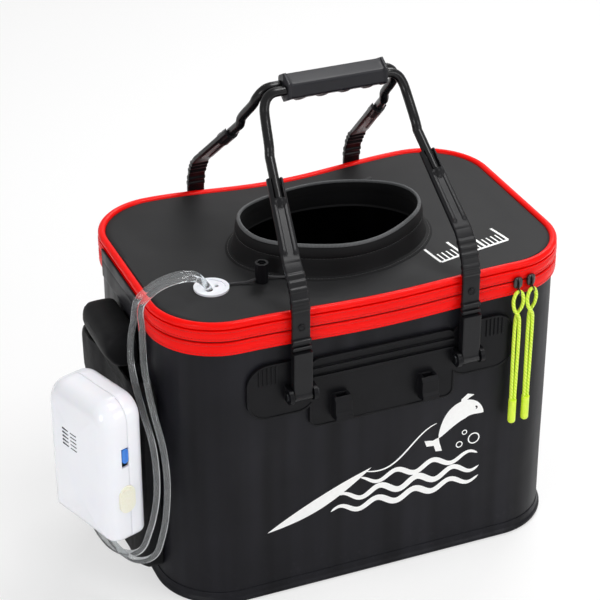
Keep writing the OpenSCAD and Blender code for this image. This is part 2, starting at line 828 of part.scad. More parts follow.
module pump_front_case() {
    color(white_abs) at_pump() difference() {
        pump_shell(-1, case_split);
        translate([face_x - switch_w / 2 - move_gap, -1, switch_z - switch_h / 2 - switch_travel - move_gap])
            cube([switch_w + 2 * move_gap, 6, switch_h + switch_travel + 2 * move_gap]);
        for (y = nozzle_y) translate([nozzle_x, y, -1]) cylinder(d = 5 + 2 * seat_gap, h = 6);
    }
}

module pump_back_case() {
    color(white_abs) at_pump() difference() {
        union() {
            pump_shell(case_split + 0.1, pump_t + 1);
            for (y = [screw_inset, pump_w - screw_inset], z = [screw_inset, pump_h - screw_inset])
                translate([case_split + 3, y, z]) rotate([0, 90, 0])
                    cylinder(d = 7, h = pump_t - case_split - 4);
            for (y = [26, pump_w - 26], z = [30, pump_h - 30])
                translate([board_x + 1.7, y, z]) rotate([0, 90, 0]) cylinder(d = 5, h = pump_t - board_x - 3);
        }
        for (y = [screw_inset, pump_w - screw_inset], z = [screw_inset, pump_h - screw_inset])
            translate([case_split, y, z]) rotate([0, 90, 0]) {
                cylinder(d = 3 + 2 * seat_gap, h = pump_t);
                translate([0, 0, pump_t - case_split - 2.2]) cylinder(d = 6.2, h = 5);
            }
    }
}

// Four screws that close the case from behind
module pump_screws() {
    color(steel) at_pump()
        for (y = [screw_inset, pump_w - screw_inset], z = [screw_inset, pump_h - screw_inset])
            translate([case_split + 2, y, z]) rotate([0, 90, 0]) {
                cylinder(d = 3, h = pump_t - case_split - 4.2);
                translate([0, 0, pump_t - case_split - 4.2]) cylinder(d = 5.6, h = 1.6);
            }
}

// Sprung clip on the pump's back, its tongue down behind the pocket's loop
module pump_clip() {
    tongue_x = pocket_x - pocket_t - move_gap - tongue_t;
    tongue_z = loop_z - 12;
    arm_z = loop_z + loop_h + 3;
    near = pump_point([pump_t, 48, 0]);
    far = pump_point([pump_t, 72, 0]);
    color(white_abs) {
        translate([tongue_x, loop_y - tongue_w / 2, tongue_z])
            cube([tongue_t, tongue_w, arm_z - tongue_z + 5]);
        translate([0, 0, arm_z]) linear_extrude(5)
            polygon([[tongue_x + tongue_t, loop_y - tongue_w / 2], [tongue_x + tongue_t, loop_y + tongue_w / 2],
                [far.x + 1, far.y], [near.x + 1, near.y]]);
        at_pump() translate([pump_t + soft_gap, 44, arm_z - pump_z - 22]) cube([2.4, 26, 27]);
    }
}

// Two short nozzles under the pump
module pump_nozzles() {
    color(white_abs) at_pump()
        for (y = nozzle_y)
            translate([nozzle_x, y, 0]) difference() {
                union() {
                    translate([0, 0, -nozzle_l]) cylinder(d = nozzle_d, h = nozzle_l);
                    translate([0, 0, -0.5]) cylinder(d = 5, h = 7);
                }
                translate([0, 0, -nozzle_l - 1]) cylinder(d = 2.6, h = 20);
            }
}

// Circuit board on the posts of the back case
module pump_board() {
    color(board_green) at_pump() translate([board_x, 20, 22]) cube([1.6, pump_w - 40, pump_h - 44]);
}

// Electromagnet of the pump, on the board
module pump_motor() {
    color(copper) at_pump() translate([board_x - 0.1, 40, 62]) rotate([0, -90, 0]) {
        cylinder(d = 24, h = 3);
        cylinder(d = 18, h = 15);
    }
}

// Rubber bellows that pushes the air to the nozzles
module pump_bellows() {
    color(moulding) at_pump() translate([nozzle_x - 6, 40, 6.6]) difference() {
        union() {
            translate([0, -16, 0]) cube([12, 32, 10]);
            for (k = [0:3]) translate([6, 0, 10 + 5 * k]) cylinder(d1 = 12, d2 = 24, h = 2.5);
            for (k = [0:3]) translate([6, 0, 12.5 + 5 * k]) cylinder(d1 = 24, d2 = 12, h = 2.5);
        }
        for (y = nozzle_y) translate([6, y - 40, -1]) cylinder(d = 2.6, h = 8);
    }
}

// Rechargeable cell in the top of the case
module pump_battery() {
    color(stone_grey) at_pump() translate([pump_wall + 9.2, 13, 108]) rotate([-90, 0, 0]) {
        cylinder(d = 18, h = 52);
        cylinder(d = 6, h = 54);
    }
}

// Slide switch on the narrow face of the pump
module pump_switch() {
    color(switch_blue) at_pump() translate([face_x, 0, switch_z]) {
        rotate([90, 0, 0]) translate([0, 0, -3]) linear_extrude(4.4) round_rect(switch_w, switch_h, switch_w / 2 - 0.05);
        translate([-switch_w / 2 - 2, pump_wall + move_gap, -switch_h / 2]) cube([switch_w + 4, 1.5, switch_h]);
    }
}

// Oval rubber cover of the charging socket
module socket_cover() {
    color(cream_rubber) at_pump() translate([face_x, -soft_gap, cover_z]) rotate([90, 0, 0]) {
        linear_extrude(cover_t) round_rect(cover_w, cover_h, cover_w / 2 - 0.05);
        translate([0, cover_h / 2 - 4, cover_t]) linear_extrude(0.8) round_rect(9, 3, 1.4);
    }
}

// Block of the side pocket, made smaller by inset all round
module pocket_block(inset) {
    intersection() {
        rotate([0, 90, 0]) linear_extrude(pocket_t - 2 * inset, center = true)
            round_rect(pocket_h - 2 * inset, pocket_w - 2 * inset, 16 - inset);
        rotate([90, 0, 0]) linear_extrude(pocket_w + 2, center = true)
            round_rect(pocket_t - 2 * inset, pocket_h - 2 * inset, 5 - inset);
    }
}

// Soft pocket on the left end, open at the top
module pocket() {
    mouth_w = pocket_w - 34;
    color(foam) translate([pocket_x - pocket_t / 2, pocket_y, pocket_z + pocket_h / 2]) difference() {
        pocket_block(0);
        pocket_block(pocket_wall);
        translate([pocket_wall - pocket_t / 2, -mouth_w / 2, pocket_h / 2 - 10])
            cube([pocket_t - 2 * pocket_wall, mouth_w, 12]);
    }
}

// Padded top of the pocket
module pocket_top() {
    color(sheet) translate([pocket_x, top_y, pocket_z + pocket_h + soft_gap]) hull()
        for (y = [-top_w / 2 + 9, top_w / 2 - 9]) {
            translate([-top_t + 9, y, top_h - 9]) sphere(9, $fn = 24);
            translate([-top_t + 5, y, 4]) sphere(4, $fn = 24);
            translate([-4, y, top_h - 4]) sphere(4, $fn = 24);
            translate([-4, y, 4]) sphere(4, $fn = 24);
        }
}

// Webbing loop on the pocket that holds the pump's clip
module pocket_loop() {
    face = pocket_x - pocket_t;
    open_t = tongue_t + 2 * move_gap;
    color(moulding) translate([face, loop_y - loop_w / 2, loop_z]) difference() {
        translate([-open_t - loop_t, 0, 0]) cube([open_t + loop_t, loop_w, loop_h]);
        translate([-open_t, loop_t + 3, -1]) cube([open_t + 1, loop_w - 2 * loop_t - 6, loop_h + 2]);
    }
}

// A point on the axis of a hose hole in the grommet, up from the lid's rim
function hole_point(s, up) =
    [grommet_x + hose_hole_x - up * sin(hose_tilt), grommet_y + s * hose_hole_y, bucket_h + up * cos(hose_tilt)];

// Hoses from the pump's nozzles over the rim into the grommet
function hose_route(route, nozzle, s) = concat(
    [for (drop = [0.1, 4]) pump_point([nozzle_x, nozzle, -nozzle_l - drop])],
    route,
    [hole_point(s, 5), hole_point(s, -hose_in)]);

module hose_left() {
    color(clear_hose) cord(hose_route(hose_left_route, nozzle_y[0], 1), hose_d);
}

module hose_right() {
    color(clear_hose) cord(hose_route(hose_right_route, nozzle_y[1], -1), hose_d);
}

// Lengths of hose inside the bucket, from the grommet to the air stones
function inner_route(route, s) = concat(
    [hole_point(s, -hose_in - 0.1), hole_point(s, -hose_in - 12)],
    route,
    [route[len(route) - 1] - [0, 0, 14]]);

module inner_hose_left() {
    color(clear_hose) cord(inner_route(inner_hose_left_route, 1), hose_d);
}

module inner_hose_right() {
    color(clear_hose) cord(inner_route(inner_hose_right_route, -1), hose_d);
}

// Porous air stone on the end of a hose
module air_stone(route) {
    color(stone_grey) translate(route[len(route) - 1] - [0, 0, 14 + soft_gap]) {
        translate([0, 0, -stone_neck]) cylinder(d1 = 10, d2 = 7, h = stone_neck);
        translate([0, 0, -stone_neck - stone_l]) cylinder(d = stone_d, h = stone_l);
    }
}

module air_stone_left() {
    air_stone(inner_hose_left_route);
}

module air_stone_right() {
    air_stone(inner_hose_right_route);
}

// A zip slider at the origin of its place on the band, facing -Y, with its eye below
module slider() {
    color(moulding) {
        translate([-slider_w / 2, -slider_t - move_gap, zip_z - slider_h / 2]) cube([slider_w, slider_t, slider_h]);
        translate([-slider_w / 2 + 1.5, -move_gap - 0.5, zip_z - keel_t / 2]) cube([slider_w - 3, keel_l, keel_t]);
        translate([0, -eye_out, eye_z]) rotate([0, 90, 0]) difference() {
            union() {
                cylinder(d = eye_d + 2.6, h = eye_t, center = true);
                translate([-5, -1.6, -eye_t / 2]) cube([4, 3.2, eye_t]);
            }
            cylinder(d = eye_d, h = eye_t + 1, center = true);
        }
    }
}

// Places of the two sliders
module at_left_slider() {
    translate([slider_x, -bucket_w / 2, 0]) children();
}

module at_right_slider() {
    translate([bucket_l / 2 - corner_r, -bucket_w / 2 + corner_r, 0])
        rotate([0, 0, slider_turn]) translate([0, -corner_r, 0]) children();
}

module zip_slider_left() {
    at_left_slider() slider();
}

module zip_slider_right() {
    at_right_slider() slider();
}

// Doubled pull cord through a slider's eye, its strands crossing once under the loop
module pull_cord() {
    low = -pull_l + end_l;
    strand = pull_d / 2 + 0.15;
    half = [[-strand, 0, low + 0.1], [-strand, 0, low + 8], [-strand - 0.5, 0, low / 2], [-strand, 0.5, -34],
        [0, strand, -25], [4.4, 1.2, -17], [5.2, 0.2, -9], [3.6, 0, -2.6], [1.4, 0, 0]];
    color(pull_yellow) translate([0, -eye_out, eye_z])
        cord(concat(half, [for (i = [len(half) - 1:-1:0]) [-half[i].x, -half[i].y, half[i].z]]), pull_d);
}

// Moulded end that joins the two strands of a pull cord
module pull_end() {
    color(pull_yellow) translate([0, -eye_out, eye_z - pull_l + end_d / 2]) {
        cylinder(d = end_d, h = end_l - end_d / 2);
        sphere(d = end_d);
    }
}

module pull_cord_left() {
    at_left_slider() pull_cord();
}

module pull_end_left() {
    at_left_slider() pull_end();
}

module pull_cord_right() {
    at_right_slider() pull_cord();
}

module pull_end_right() {
    at_right_slider() pull_end();
}

bucket_shell();
base_welt();
bucket_band();
zip_tape_bucket();
hinge_strip();
front_plate();
back_plate();
front_pins();
back_pins();
pocket();
pocket_top();
pocket_loop();
pump_front_case();
pump_back_case();
pump_screws();
pump_clip();
pump_nozzles();
pump_board();
pump_motor();
pump_bellows();
pump_battery();
pump_switch();
socket_cover();
hose_left();
hose_right();
lid_sheet();
lid_band();
lid_piping();
zip_tape_lid();
hinge_flap();
collar();
collar_binding();
back_tab();
drawcord();
cord_lock_barrel();
cord_lock_spring();
cord_lock_button();
hose_grommet();
grommet_nut();
inner_hose_left();
inner_hose_right();
air_stone_left();
air_stone_right();
front_strap_left();
front_strap_right();
front_rod();
front_grip_half();
back_strap_left();
back_strap_right();
back_rod();
back_grip_half();
zip_slider_left();
zip_slider_right();
pull_cord_left();
pull_end_left();
pull_cord_right();
pull_end_right();
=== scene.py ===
import math

import bmesh
import bpy
from mathutils import Matrix, Vector, noise


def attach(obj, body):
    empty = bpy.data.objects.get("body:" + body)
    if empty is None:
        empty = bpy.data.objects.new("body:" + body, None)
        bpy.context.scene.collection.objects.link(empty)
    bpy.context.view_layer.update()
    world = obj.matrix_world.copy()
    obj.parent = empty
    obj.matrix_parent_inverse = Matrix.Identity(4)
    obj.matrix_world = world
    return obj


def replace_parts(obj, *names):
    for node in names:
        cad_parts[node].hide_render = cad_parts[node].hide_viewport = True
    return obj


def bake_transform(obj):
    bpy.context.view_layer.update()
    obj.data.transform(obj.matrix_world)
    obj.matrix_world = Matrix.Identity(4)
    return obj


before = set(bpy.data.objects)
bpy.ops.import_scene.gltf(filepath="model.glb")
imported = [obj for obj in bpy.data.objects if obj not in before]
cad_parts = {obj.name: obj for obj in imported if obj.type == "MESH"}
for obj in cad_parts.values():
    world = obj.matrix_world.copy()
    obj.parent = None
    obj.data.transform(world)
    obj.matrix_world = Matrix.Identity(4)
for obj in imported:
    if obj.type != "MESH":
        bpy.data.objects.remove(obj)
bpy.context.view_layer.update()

MM = 0.001


# Studio
# A pale painted sweep, four soft lamps and a lens that stands where the photograph was taken from. It was
# fitted to the bucket's own corners, so the object keeps its measured size.

def linear(colour):
    """An sRGB hex colour as the linear numbers that shaders take."""
    channels = [int(colour[i:i + 2], 16) / 255 for i in (1, 3, 5)]
    return [c / 12.92 if c <= 0.04045 else ((c + 0.055) / 1.055) ** 2.4 for c in channels] + [1.0]


def add(tree, kind, inputs={}, **settings):
    """A new shader node with its settings, and its inputs filled in or linked."""
    made = tree.nodes.new("ShaderNode" + kind)
    for name, value in settings.items():
        setattr(made, name, value)
    for name, value in inputs.items():
        if isinstance(value, bpy.types.NodeSocket):
            tree.links.new(value, made.inputs[name])
        else:
            made.inputs[name].default_value = value
    return made


def material(name, colour, **sockets):
    """A new material of one colour with plain shader values; its nodes and its shader come with it."""
    made = bpy.data.materials.new(name)
    made.use_nodes = True
    shader = made.node_tree.nodes["Principled BSDF"]
    shader.inputs["Base Color"].default_value = linear(colour)
    for socket, value in sockets.items():
        shader.inputs[socket.replace("_", " ")].default_value = value
    return made, made.node_tree, shader


scene = bpy.context.scene
scene.view_settings.view_transform = "Standard"

lens = bpy.data.cameras.new("photo_lens")
lens.sensor_width = 36
lens.lens = 123.095
lens.clip_end = 20
camera = bpy.data.objects.new("photo_camera", lens)
scene.collection.objects.link(camera)
camera.matrix_world = Matrix((
    (0.923199, 0.193168, -0.332248, -0.671155),
    (-0.384321, 0.462947, -0.798735, -1.548651),
    (-0.000477, 0.865082, 0.501631, 1.205987),
    (0, 0, 0, 1)))
scene.camera = camera

# Sweep of board rolled with matt white emulsion: a pale floor that takes a soft shadow.
sweep_paint, tree, shader = material("rolled_white_emulsion", "#fbfbfb", Roughness=0.9,
    Specular_IOR_Level=0.1)
seen = add(tree, "LightPath")
glow = add(tree, "Emission", {"Color": (1, 1, 1, 1), "Strength": 1})
share = add(tree, "Math", {0: seen.outputs["Is Camera Ray"], 1: 0.58}, operation="MULTIPLY")
both = add(tree, "MixShader", {0: share.outputs[0], 1: shader.outputs[0], 2: glow.outputs[0]})
tree.links.new(both.outputs[0], tree.nodes["Material Output"].inputs["Surface"])
floor_mesh = bpy.data.meshes.new("sweep")
floor_mesh.from_pydata([(-4, -4, -0.0005), (4, -4, -0.0005), (4, 6, -0.0005), (-4, 6, -0.0005)], [],
    [(0, 1, 2, 3)])
floor_mesh.materials.append(sweep_paint)
sweep = bpy.data.objects.new("sweep", floor_mesh)
scene.collection.objects.link(sweep)

# The room: white where the lens, glass or a mirror would see it, and dimmer where it only lights.
room = bpy.data.worlds.new("pale_room")
scene.world = room
room.use_nodes = True
tree = room.node_tree
seen = add(tree, "LightPath")
plain = add(tree, "Math", {0: seen.outputs["Is Camera Ray"], 1: seen.outputs["Is Transmission Ray"]},
    operation="MAXIMUM")
gloss = add(tree, "Math", {0: seen.outputs["Is Glossy Ray"], 1: 0.3}, operation="MULTIPLY")
white = add(tree, "Math", {0: plain.outputs[0], 1: gloss.outputs[0]}, operation="MAXIMUM")
level = add(tree, "MapRange", {0: white.outputs[0], 3: 0.42, 4: 1.0})
back = tree.nodes["Background"]
back.inputs["Color"].default_value = (1, 1, 1, 1)
tree.links.new(level.outputs[0], back.inputs["Strength"])

for name, place, aim, size, long, power in (
        ("top_softbox", (0.5, -0.42, 1.9), (0.42, -0.25, 0.2), 0.42, 0.95, 15),
        ("back_softbox", (0.95, 1.0, 1.7), (0.0, 0.0, 0.2), 0.9, 0.9, 17),
        ("left_softbox", (-1.7, -1.2, 0.9), (-0.2, 0.0, 0.2), 0.5, 0.8, 11),
        ("right_softbox", (1.2, -1.7, 1.0), (0.1, 0.0, 0.2), 0.9, 0.9, 8)):
    lamp = bpy.data.lights.new(name, "AREA")
    lamp.shape, lamp.size, lamp.size_y = "RECTANGLE", size, long
    lamp.energy = power
    softbox = bpy.data.objects.new(name, lamp)
    scene.collection.objects.link(softbox)
    softbox.location = place
    softbox.rotation_euler = (Vector(aim) - Vector(place)).to_track_quat("-Z", "Y").to_euler()


# Bucket body
# Black EVA foam sheet, 3 mm thick, hot-welded into a rounded box on a 5 mm floor. It is limp enough for
# its long walls to ripple and for the rim to sink between the corners.

def outline(length, width, radius):
    """Points (x, y) and outward directions round a rectangle with round corners, anticlockwise from the
    middle of the front. There are always as many, so outlines of different sizes match."""
    a, b = length / 2 - radius, width / 2 - radius
    found = []

    def straight(x0, y0, x1, y1, steps, nx, ny):
        for i in range(steps):
            t = i / steps
            found.append((x0 + (x1 - x0) * t, y0 + (y1 - y0) * t, nx, ny))

    def corner(cx, cy, first):
        for i in range(18):
            turn = math.radians(first + 90 * i / 18)
            found.append((cx + radius * math.cos(turn), cy + radius * math.sin(turn), math.cos(turn),
                math.sin(turn)))

    straight(0, -width / 2, a, -width / 2, 26, 0, -1)
    corner(a, -b, -90)
    straight(length / 2, -b, length / 2, b, 24, 1, 0)
    corner(a, b, 0)
    straight(a, width / 2, -a, width / 2, 52, 0, 1)
    corner(-a, b, 90)
    straight(-length / 2, b, -length / 2, -b, 24, -1, 0)
    corner(-a, -b, 180)
    straight(-a, -width / 2, 0, -width / 2, 26, 0, -1)
    return found


def inside(depth):
    """The outline some millimetres behind the face of the red band, which is the bucket's full size."""
    bucket_long, bucket_wide, bucket_corner = 400, 256, 65
    return outline(bucket_long - 2 * depth, bucket_wide - 2 * depth, bucket_corner - depth)


def ease(t):
    """From 0 to 1 without a corner, for t from 0 to 1."""
    t = min(1, max(0, t))
    return t * t * (3 - 2 * t)


def rim_drop(x, y):
    """How far the rim has sunk at a place on it: 7 mm behind, 4 mm in front, nothing at the corners."""
    across = math.cos(math.pi * min(135, abs(x)) / 270) ** 2
    return across * ((4 if y < 0 else 7) * ease((abs(y) - 30) / 95))


def settled(x, y, z):
    """Height of a point of a wall once the rim has sunk. Below 190 mm nothing moves."""
    return z - ease((z - 190) / 90) * rim_drop(x, y)


def wall_ripple(x, y, nx, ny, z):
    """How far a wall stands proud of its plain form, kept flat where plates and the pocket lie on it."""
    free = ease((z - 8) / 50) * ease((272 - z) / 40)
    if abs(ny) > 0.7:
        free *= 1 - ease((150 - abs(x)) / 20) * ease((z - 150) / 25)
        along = x
    else:
        free *= 0 if nx < -0.7 and abs(y) < 90 else 1
        along = y + 300
    folds = 0.55 * math.sin(along / 13.5) + 0.8 * math.sin(along / 31 + 1.2)
    folds += 0.5 * noise.noise((along / 60, y / 90, z / 80))
    return free * (0.75 * folds - 0.8)


def piece_of(name, corners, faces, finish):
    """A smooth object in one finish; its corners are in millimetres."""
    mesh = bpy.data.meshes.new(name)
    mesh.from_pydata([[c * MM for c in p] for p in corners], [], faces)
    mesh.polygons.foreach_set("use_smooth", [True] * len(mesh.polygons))
    mesh.materials.append(finish)
    piece = bpy.data.objects.new(name, mesh)
    scene.collection.objects.link(piece)
    return piece


def skin(name, rings, finish, joined=False, capped=False, sharp=38):
    """A smooth piece over closed rings of points in millimetres. joined joins the last ring to the first,
    capped fills both ends. Its map, in metres over the skin, carries the weaves."""
    rows, count = len(rings), len(rings[0])
    middle = rings[rows // 2]
    steps = rows if joined else rows - 1
    u = [0.0]
    for k in range(count):
        u.append(u[-1] + math.dist(middle[k], middle[(k + 1) % count]) * MM)
    v = [0.0]
    for i in range(steps):
        v.append(v[-1] + math.dist(rings[i][0], rings[(i + 1) % rows][0]) * MM)
    faces, places = [], []
    for i in range(steps):
        low, high = i * count, (i + 1) % rows * count
        for k in range(count):
            after = (k + 1) % count
            faces.append((low + k, low + after, high + after, high + k))
            places += [u[k], v[i], u[k + 1], v[i], u[k + 1], v[i + 1], u[k], v[i + 1]]
    if capped:
        faces += [tuple(range(count)), tuple(range((rows - 1) * count, rows * count))]
        places += [0.0] * (4 * count)
    piece = piece_of(name, [p for ring in rings for p in ring], faces, finish)
    mesh = piece.data
    mesh.uv_layers.new(name="weave").data.foreach_set("uv", places)
    shape = bmesh.new()
    shape.from_mesh(mesh)
    bmesh.ops.recalc_face_normals(shape, faces=shape.faces)
    shape.to_mesh(mesh)
    shape.free()
    mesh.set_sharp_from_angle(angle=math.radians(sharp))
    return piece


# EVA foam sheet with a calendered skin: near black and a little blue, faintly mottled, with painted highlight
# and shade in soft upright bands some 24 mm wide, a fine pebble of 0.8 mm, and pale scuffs low down.
eva_sheet, tree, shader = material("calendered_eva_foam", "#17171b", Roughness=0.4, IOR=1.48,
    Specular_IOR_Level=0.16)
place = add(tree, "TexCoord")
mottle = add(tree, "TexNoise", {"Vector": place.outputs["Object"], "Scale": 1 / 0.05, "Detail": 4})
tint = add(tree, "Mix", {0: mottle.outputs[0], 6: linear("#121216"), 7: linear("#1d1d22")}, data_type="RGBA")
height = add(tree, "SeparateXYZ", {0: place.outputs["Object"]})
low = add(tree, "MapRange", {0: height.outputs["Z"], 1: 0.05, 2: 0.0, 3: 0.0, 4: 1.0})
rub = add(tree, "TexNoise", {"Vector": place.outputs["Object"], "Scale": 1 / 0.006, "Detail": 6,
    "Roughness": 0.7})
worn = add(tree, "MapRange", {0: rub.outputs[0], 1: 0.56, 2: 0.72, 3: 0.0, 4: 0.35})
scuffed = add(tree, "Math", {0: worn.outputs[0], 1: low.outputs[0]}, operation="MULTIPLY")
colour = add(tree, "Mix", {0: scuffed.outputs[0], 6: tint.outputs[2], 7: linear("#3a3a40")}, data_type="RGBA")
# Painted highlight and shade: upright bands about 24 mm wide make the colour 0.55 to 1.35 times as bright,
# standing in for soft reflections down the walls. The same bands also vary the roughness.
long = add(tree, "Mapping", {"Vector": place.outputs["Object"], "Scale": (1 / 0.024, 1 / 0.024, 1 / 0.5)})
painted_sheen_bands = add(tree, "TexNoise", {"Vector": long.outputs[0], "Scale": 1.0, "Detail": 2})
band = add(tree, "MapRange", {0: painted_sheen_bands.outputs[0], 1: 0.3, 2: 0.7, 3: 0.55, 4: 1.35})
painted_sheen_colour = add(tree, "VectorMath", {0: colour.outputs[2], "Scale": band.outputs[0]}, operation="SCALE")
tree.links.new(painted_sheen_colour.outputs[0], shader.inputs["Base Color"])
sheen = add(tree, "MapRange", {0: painted_sheen_bands.outputs[0], 1: 0.3, 2: 0.7, 3: 0.5, 4: 0.32})
tree.links.new(sheen.outputs[0], shader.inputs["Roughness"])
pebble = add(tree, "TexVoronoi", {"Vector": place.outputs["Object"], "Scale": 1 / 0.0008})
swell = add(tree, "TexNoise", {"Vector": place.outputs["Object"], "Scale": 1 / 0.03, "Detail": 1})
fine = add(tree, "Bump", {"Height": pebble.outputs["Distance"], "Distance": 0.00004, "Strength": 0.7})
relief = add(tree, "Bump", {"Height": swell.outputs[0], "Distance": 0.0012, "Strength": 0.5,
    "Normal": fine.outputs[0]})
tree.links.new(relief.outputs[0], shader.inputs["Normal"])

outer, inner = inside(3.1), inside(6.1)
wall_top, floor_top, cove = 284.8, 5, 6
rings = [[(x - nx * 12, y - ny * 12, 0) for x, y, nx, ny in outer], [(x, y, 0.6) for x, y, nx, ny in outer]]
for z in [4, 8] + list(range(16, 280, 8)) + [282, wall_top]:
    ripple = [wall_ripple(x, y, nx, ny, z) for x, y, nx, ny in outer]
    rings.append([(x + nx * r, y + ny * r, settled(x, y, z)) for (x, y, nx, ny), r in zip(outer, ripple)])
for z in [wall_top, 280] + list(range(272, 16, -16)) + [12, 8, 5.6]:
    ripple = [wall_ripple(x, y, nx, ny, z) for x, y, nx, ny in outer]
    inset = 0 if z > 2 * cove else cove - math.sqrt(max(0, cove ** 2 - (2 * cove - z) ** 2))
    rings.append([(x + nx * (r - inset), y + ny * (r - inset), settled(x, y, z))
        for (x, y, nx, ny), r in zip(inner, ripple)])
rings.append([(x - nx * 16, y - ny * 16, floor_top) for x, y, nx, ny in inner])
body = skin("foam_body", rings, eva_sheet, capped=True)
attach(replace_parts(body, "bucket_shell"), "bucket")


# Base welt
# The floor's edge and the walls' edge are rolled together and welded, which leaves a round cord of foam
# with a flat pressed margin above it.

def round_bucket(name, path, section, finish, sink=1.0, sharp=38):
    """A strip or bead that runs round the bucket; its section is points (outward, up) from the path."""
    rings = [[(x + nx * o, y + ny * o, h - sink * rim_drop(x, y)) for o, h in section] for x, y, nx,
        ny in path]
    return skin(name, rings, finish, joined=True, sharp=sharp)


welt_section = [(3.3 * math.cos(a), 3.4 + 3.3 * math.sin(a))
    for a in (math.radians(d) for d in range(-150, 61, 15))]
welt_section += [(1.4, 7.2), (1.0, 8.6), (0.9, 11.5), (0.5, 12.4), (-0.4, 12.6), (-0.4, 2)]
welt = round_bucket("rolled_base_welt", inside(3), welt_section, eva_sheet, sink=0)
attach(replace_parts(welt, "base_welt"), "bucket")


# Red band of the bucket
# A 13 mm strip of glossy red PVC welded round the mouth, run through the sewing machine twice so that
# two rows of thread sink into it.

def capsules(name, places, length, thick, finish):
    """Many small rods with round ends in one piece. places holds (point in millimetres, direction)."""
    corners, faces = [], []
    for point, direction in places:
        middle, d = Vector(point), Vector(direction).normalized()
        side = d.orthogonal().normalized()
        other = d.cross(side)
        base = len(corners)
        for end in (-1, 1):
            corners.append(middle + d * end * length / 2)
            shoulder = middle + d * end * (length / 2 - thick * 0.35)
            for k in range(6):
                a = math.pi * k / 3
                corners.append(shoulder + (side * math.cos(a) + other * math.sin(a)) * thick / 2)
        for k in range(6):
            a, b = 1 + k, 1 + (k + 1) % 6
            faces += [(base + a, base + b, base + 7 + b, base + 7 + a), (base, base + b, base + a),
                (base + 7, base + 7 + a, base + 7 + b)]
    return piece_of(name, corners, faces, finish)


def spaced(line, pitch, closed=False):
    """Points and directions pitch apart along a line of points."""
    line = [Vector(p) for p in line] + ([Vector(line[0])] if closed else [])
    found, left = [], pitch / 2
    for a, b in zip(line, line[1:]):
        long = (b - a).length
        while left < long:
            found.append((a + (b - a) * (left / long), b - a))
            left += pitch
        left -= long
    return found


# Welded PVC strip: saturated red under a clear gloss, a touch darker in the hollows, with slow ripples
# left by the welding wheel about 14 mm apart and dust-fine mottling.
pvc_band, tree, shader = material("glossy_red_pvc", "#f00a02", Roughness=0.36, IOR=1.52,
    Specular_IOR_Level=0.1, Coat_Weight=0.06, Coat_Roughness=0.08)
place = add(tree, "TexCoord")
tone = add(tree, "TexNoise", {"Vector": place.outputs["Object"], "Scale": 1 / 0.03, "Detail": 3})
red = add(tree, "Mix", {0: tone.outputs[0], 6: linear("#ec0601"), 7: linear("#fb0b03")}, data_type="RGBA")
tree.links.new(red.outputs[2], shader.inputs["Base Color"])
slow = add(tree, "TexNoise", {"Vector": place.outputs["Object"], "Scale": 1 / 0.014, "Detail": 1})
speck = add(tree, "TexNoise", {"Vector": place.outputs["Object"], "Scale": 1 / 0.0009, "Detail": 2})
fine = add(tree, "Bump", {"Height": speck.outputs[0], "Distance": 0.00003, "Strength": 0.6})
relief = add(tree, "Bump", {"Height": slow.outputs[0], "Distance": 0.0007, "Strength": 0.5,
    "Normal": fine.outputs[0]})
tree.links.new(relief.outputs[0], shader.inputs["Normal"])

# Bonded polyester thread in the band's own red, dulled by its twist of about 0.4 mm.
red_thread, tree, shader = material("red_polyester_thread", "#d8140b", Roughness=0.6, Sheen_Weight=0.1)
place = add(tree, "TexCoord")
twist = add(tree, "TexWave", {"Vector": place.outputs["Object"], "Scale": 1 / 0.0012, "Distortion": 2})
strand = add(tree, "Mix", {0: twist.outputs[0], 6: linear("#b80d07"), 7: linear("#e81a10")}, data_type="RGBA")
tree.links.new(strand.outputs[2], shader.inputs["Base Color"])

mouth = inside(0)
low_band = [(-3, 272), (-0.9, 272), (-0.3, 272.2), (0, 272.8), (0.1, 273.6), (-0.12, 274.2), (-0.12, 274.7),
    (0.15, 275.4), (0.3, 278.5),
    (0.15, 281.6), (-0.12, 282.2), (-0.12, 282.7), (0.1, 283.3), (0, 284), (-0.4, 284.6), (-1, 284.8),
    (-3, 284.8)]
band = round_bucket("red_band_bucket", mouth, low_band, pvc_band, sharp=50)
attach(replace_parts(band, "bucket_band"), "bucket")


def band_stitches(name, heights):
    """Rows of thread sunk in a band, a stitch of 2.7 mm every 3.4 mm."""
    rows = []
    for h in heights:
        path = [(x + nx * 0.05, y + ny * 0.05, h - rim_drop(x, y)) for x, y, nx, ny in mouth]
        rows += spaced(path, 3.4, closed=True)
    return capsules(name, rows, 2.7, 0.55, red_thread)


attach(band_stitches("band_stitches_bucket", (274.45, 282.45)), "bucket")


# Zip, the bucket's half
# Woven polyester tape sewn inside the band, with a nylon coil along its edge. Every second tooth of the
# closed zip belongs to it.

# Polyester zip tape: black, matt, twilled. Its ribs are 0.5 mm apart and drawn at 1.4 mm, so that they show.
zip_weave, tree, shader = material("woven_polyester_tape", "#141416", Roughness=0.8, Sheen_Weight=0.1)
place = add(tree, "TexCoord")
twill = add(tree, "TexWave", {"Vector": place.outputs["UV"], "Scale": 1 / 0.0031, "Distortion": 0},
    bands_direction="DIAGONAL")
yarn = add(tree, "Mix", {0: twill.outputs[0], 6: linear("#0c0c0d"), 7: linear("#1f1f22")}, data_type="RGBA")
tree.links.new(yarn.outputs[2], shader.inputs["Base Color"])
relief = add(tree, "Bump", {"Height": twill.outputs[0], "Distance": 0.0001, "Strength": 0.8})
tree.links.new(relief.outputs[0], shader.inputs["Normal"])

# Nylon coil: black, drawn and lightly polished by use.
zip_coil, tree, shader = material("drawn_nylon_coil", "#141416", Roughness=0.35, IOR=1.53)
place = add(tree, "TexCoord")
polish = add(tree, "TexNoise", {"Vector": place.outputs["Object"], "Scale": 1 / 0.004, "Detail": 2})
gleam = add(tree, "MapRange", {0: polish.outputs[0], 3: 0.25, 4: 0.5})
tree.links.new(gleam.outputs[0], shader.inputs["Roughness"])

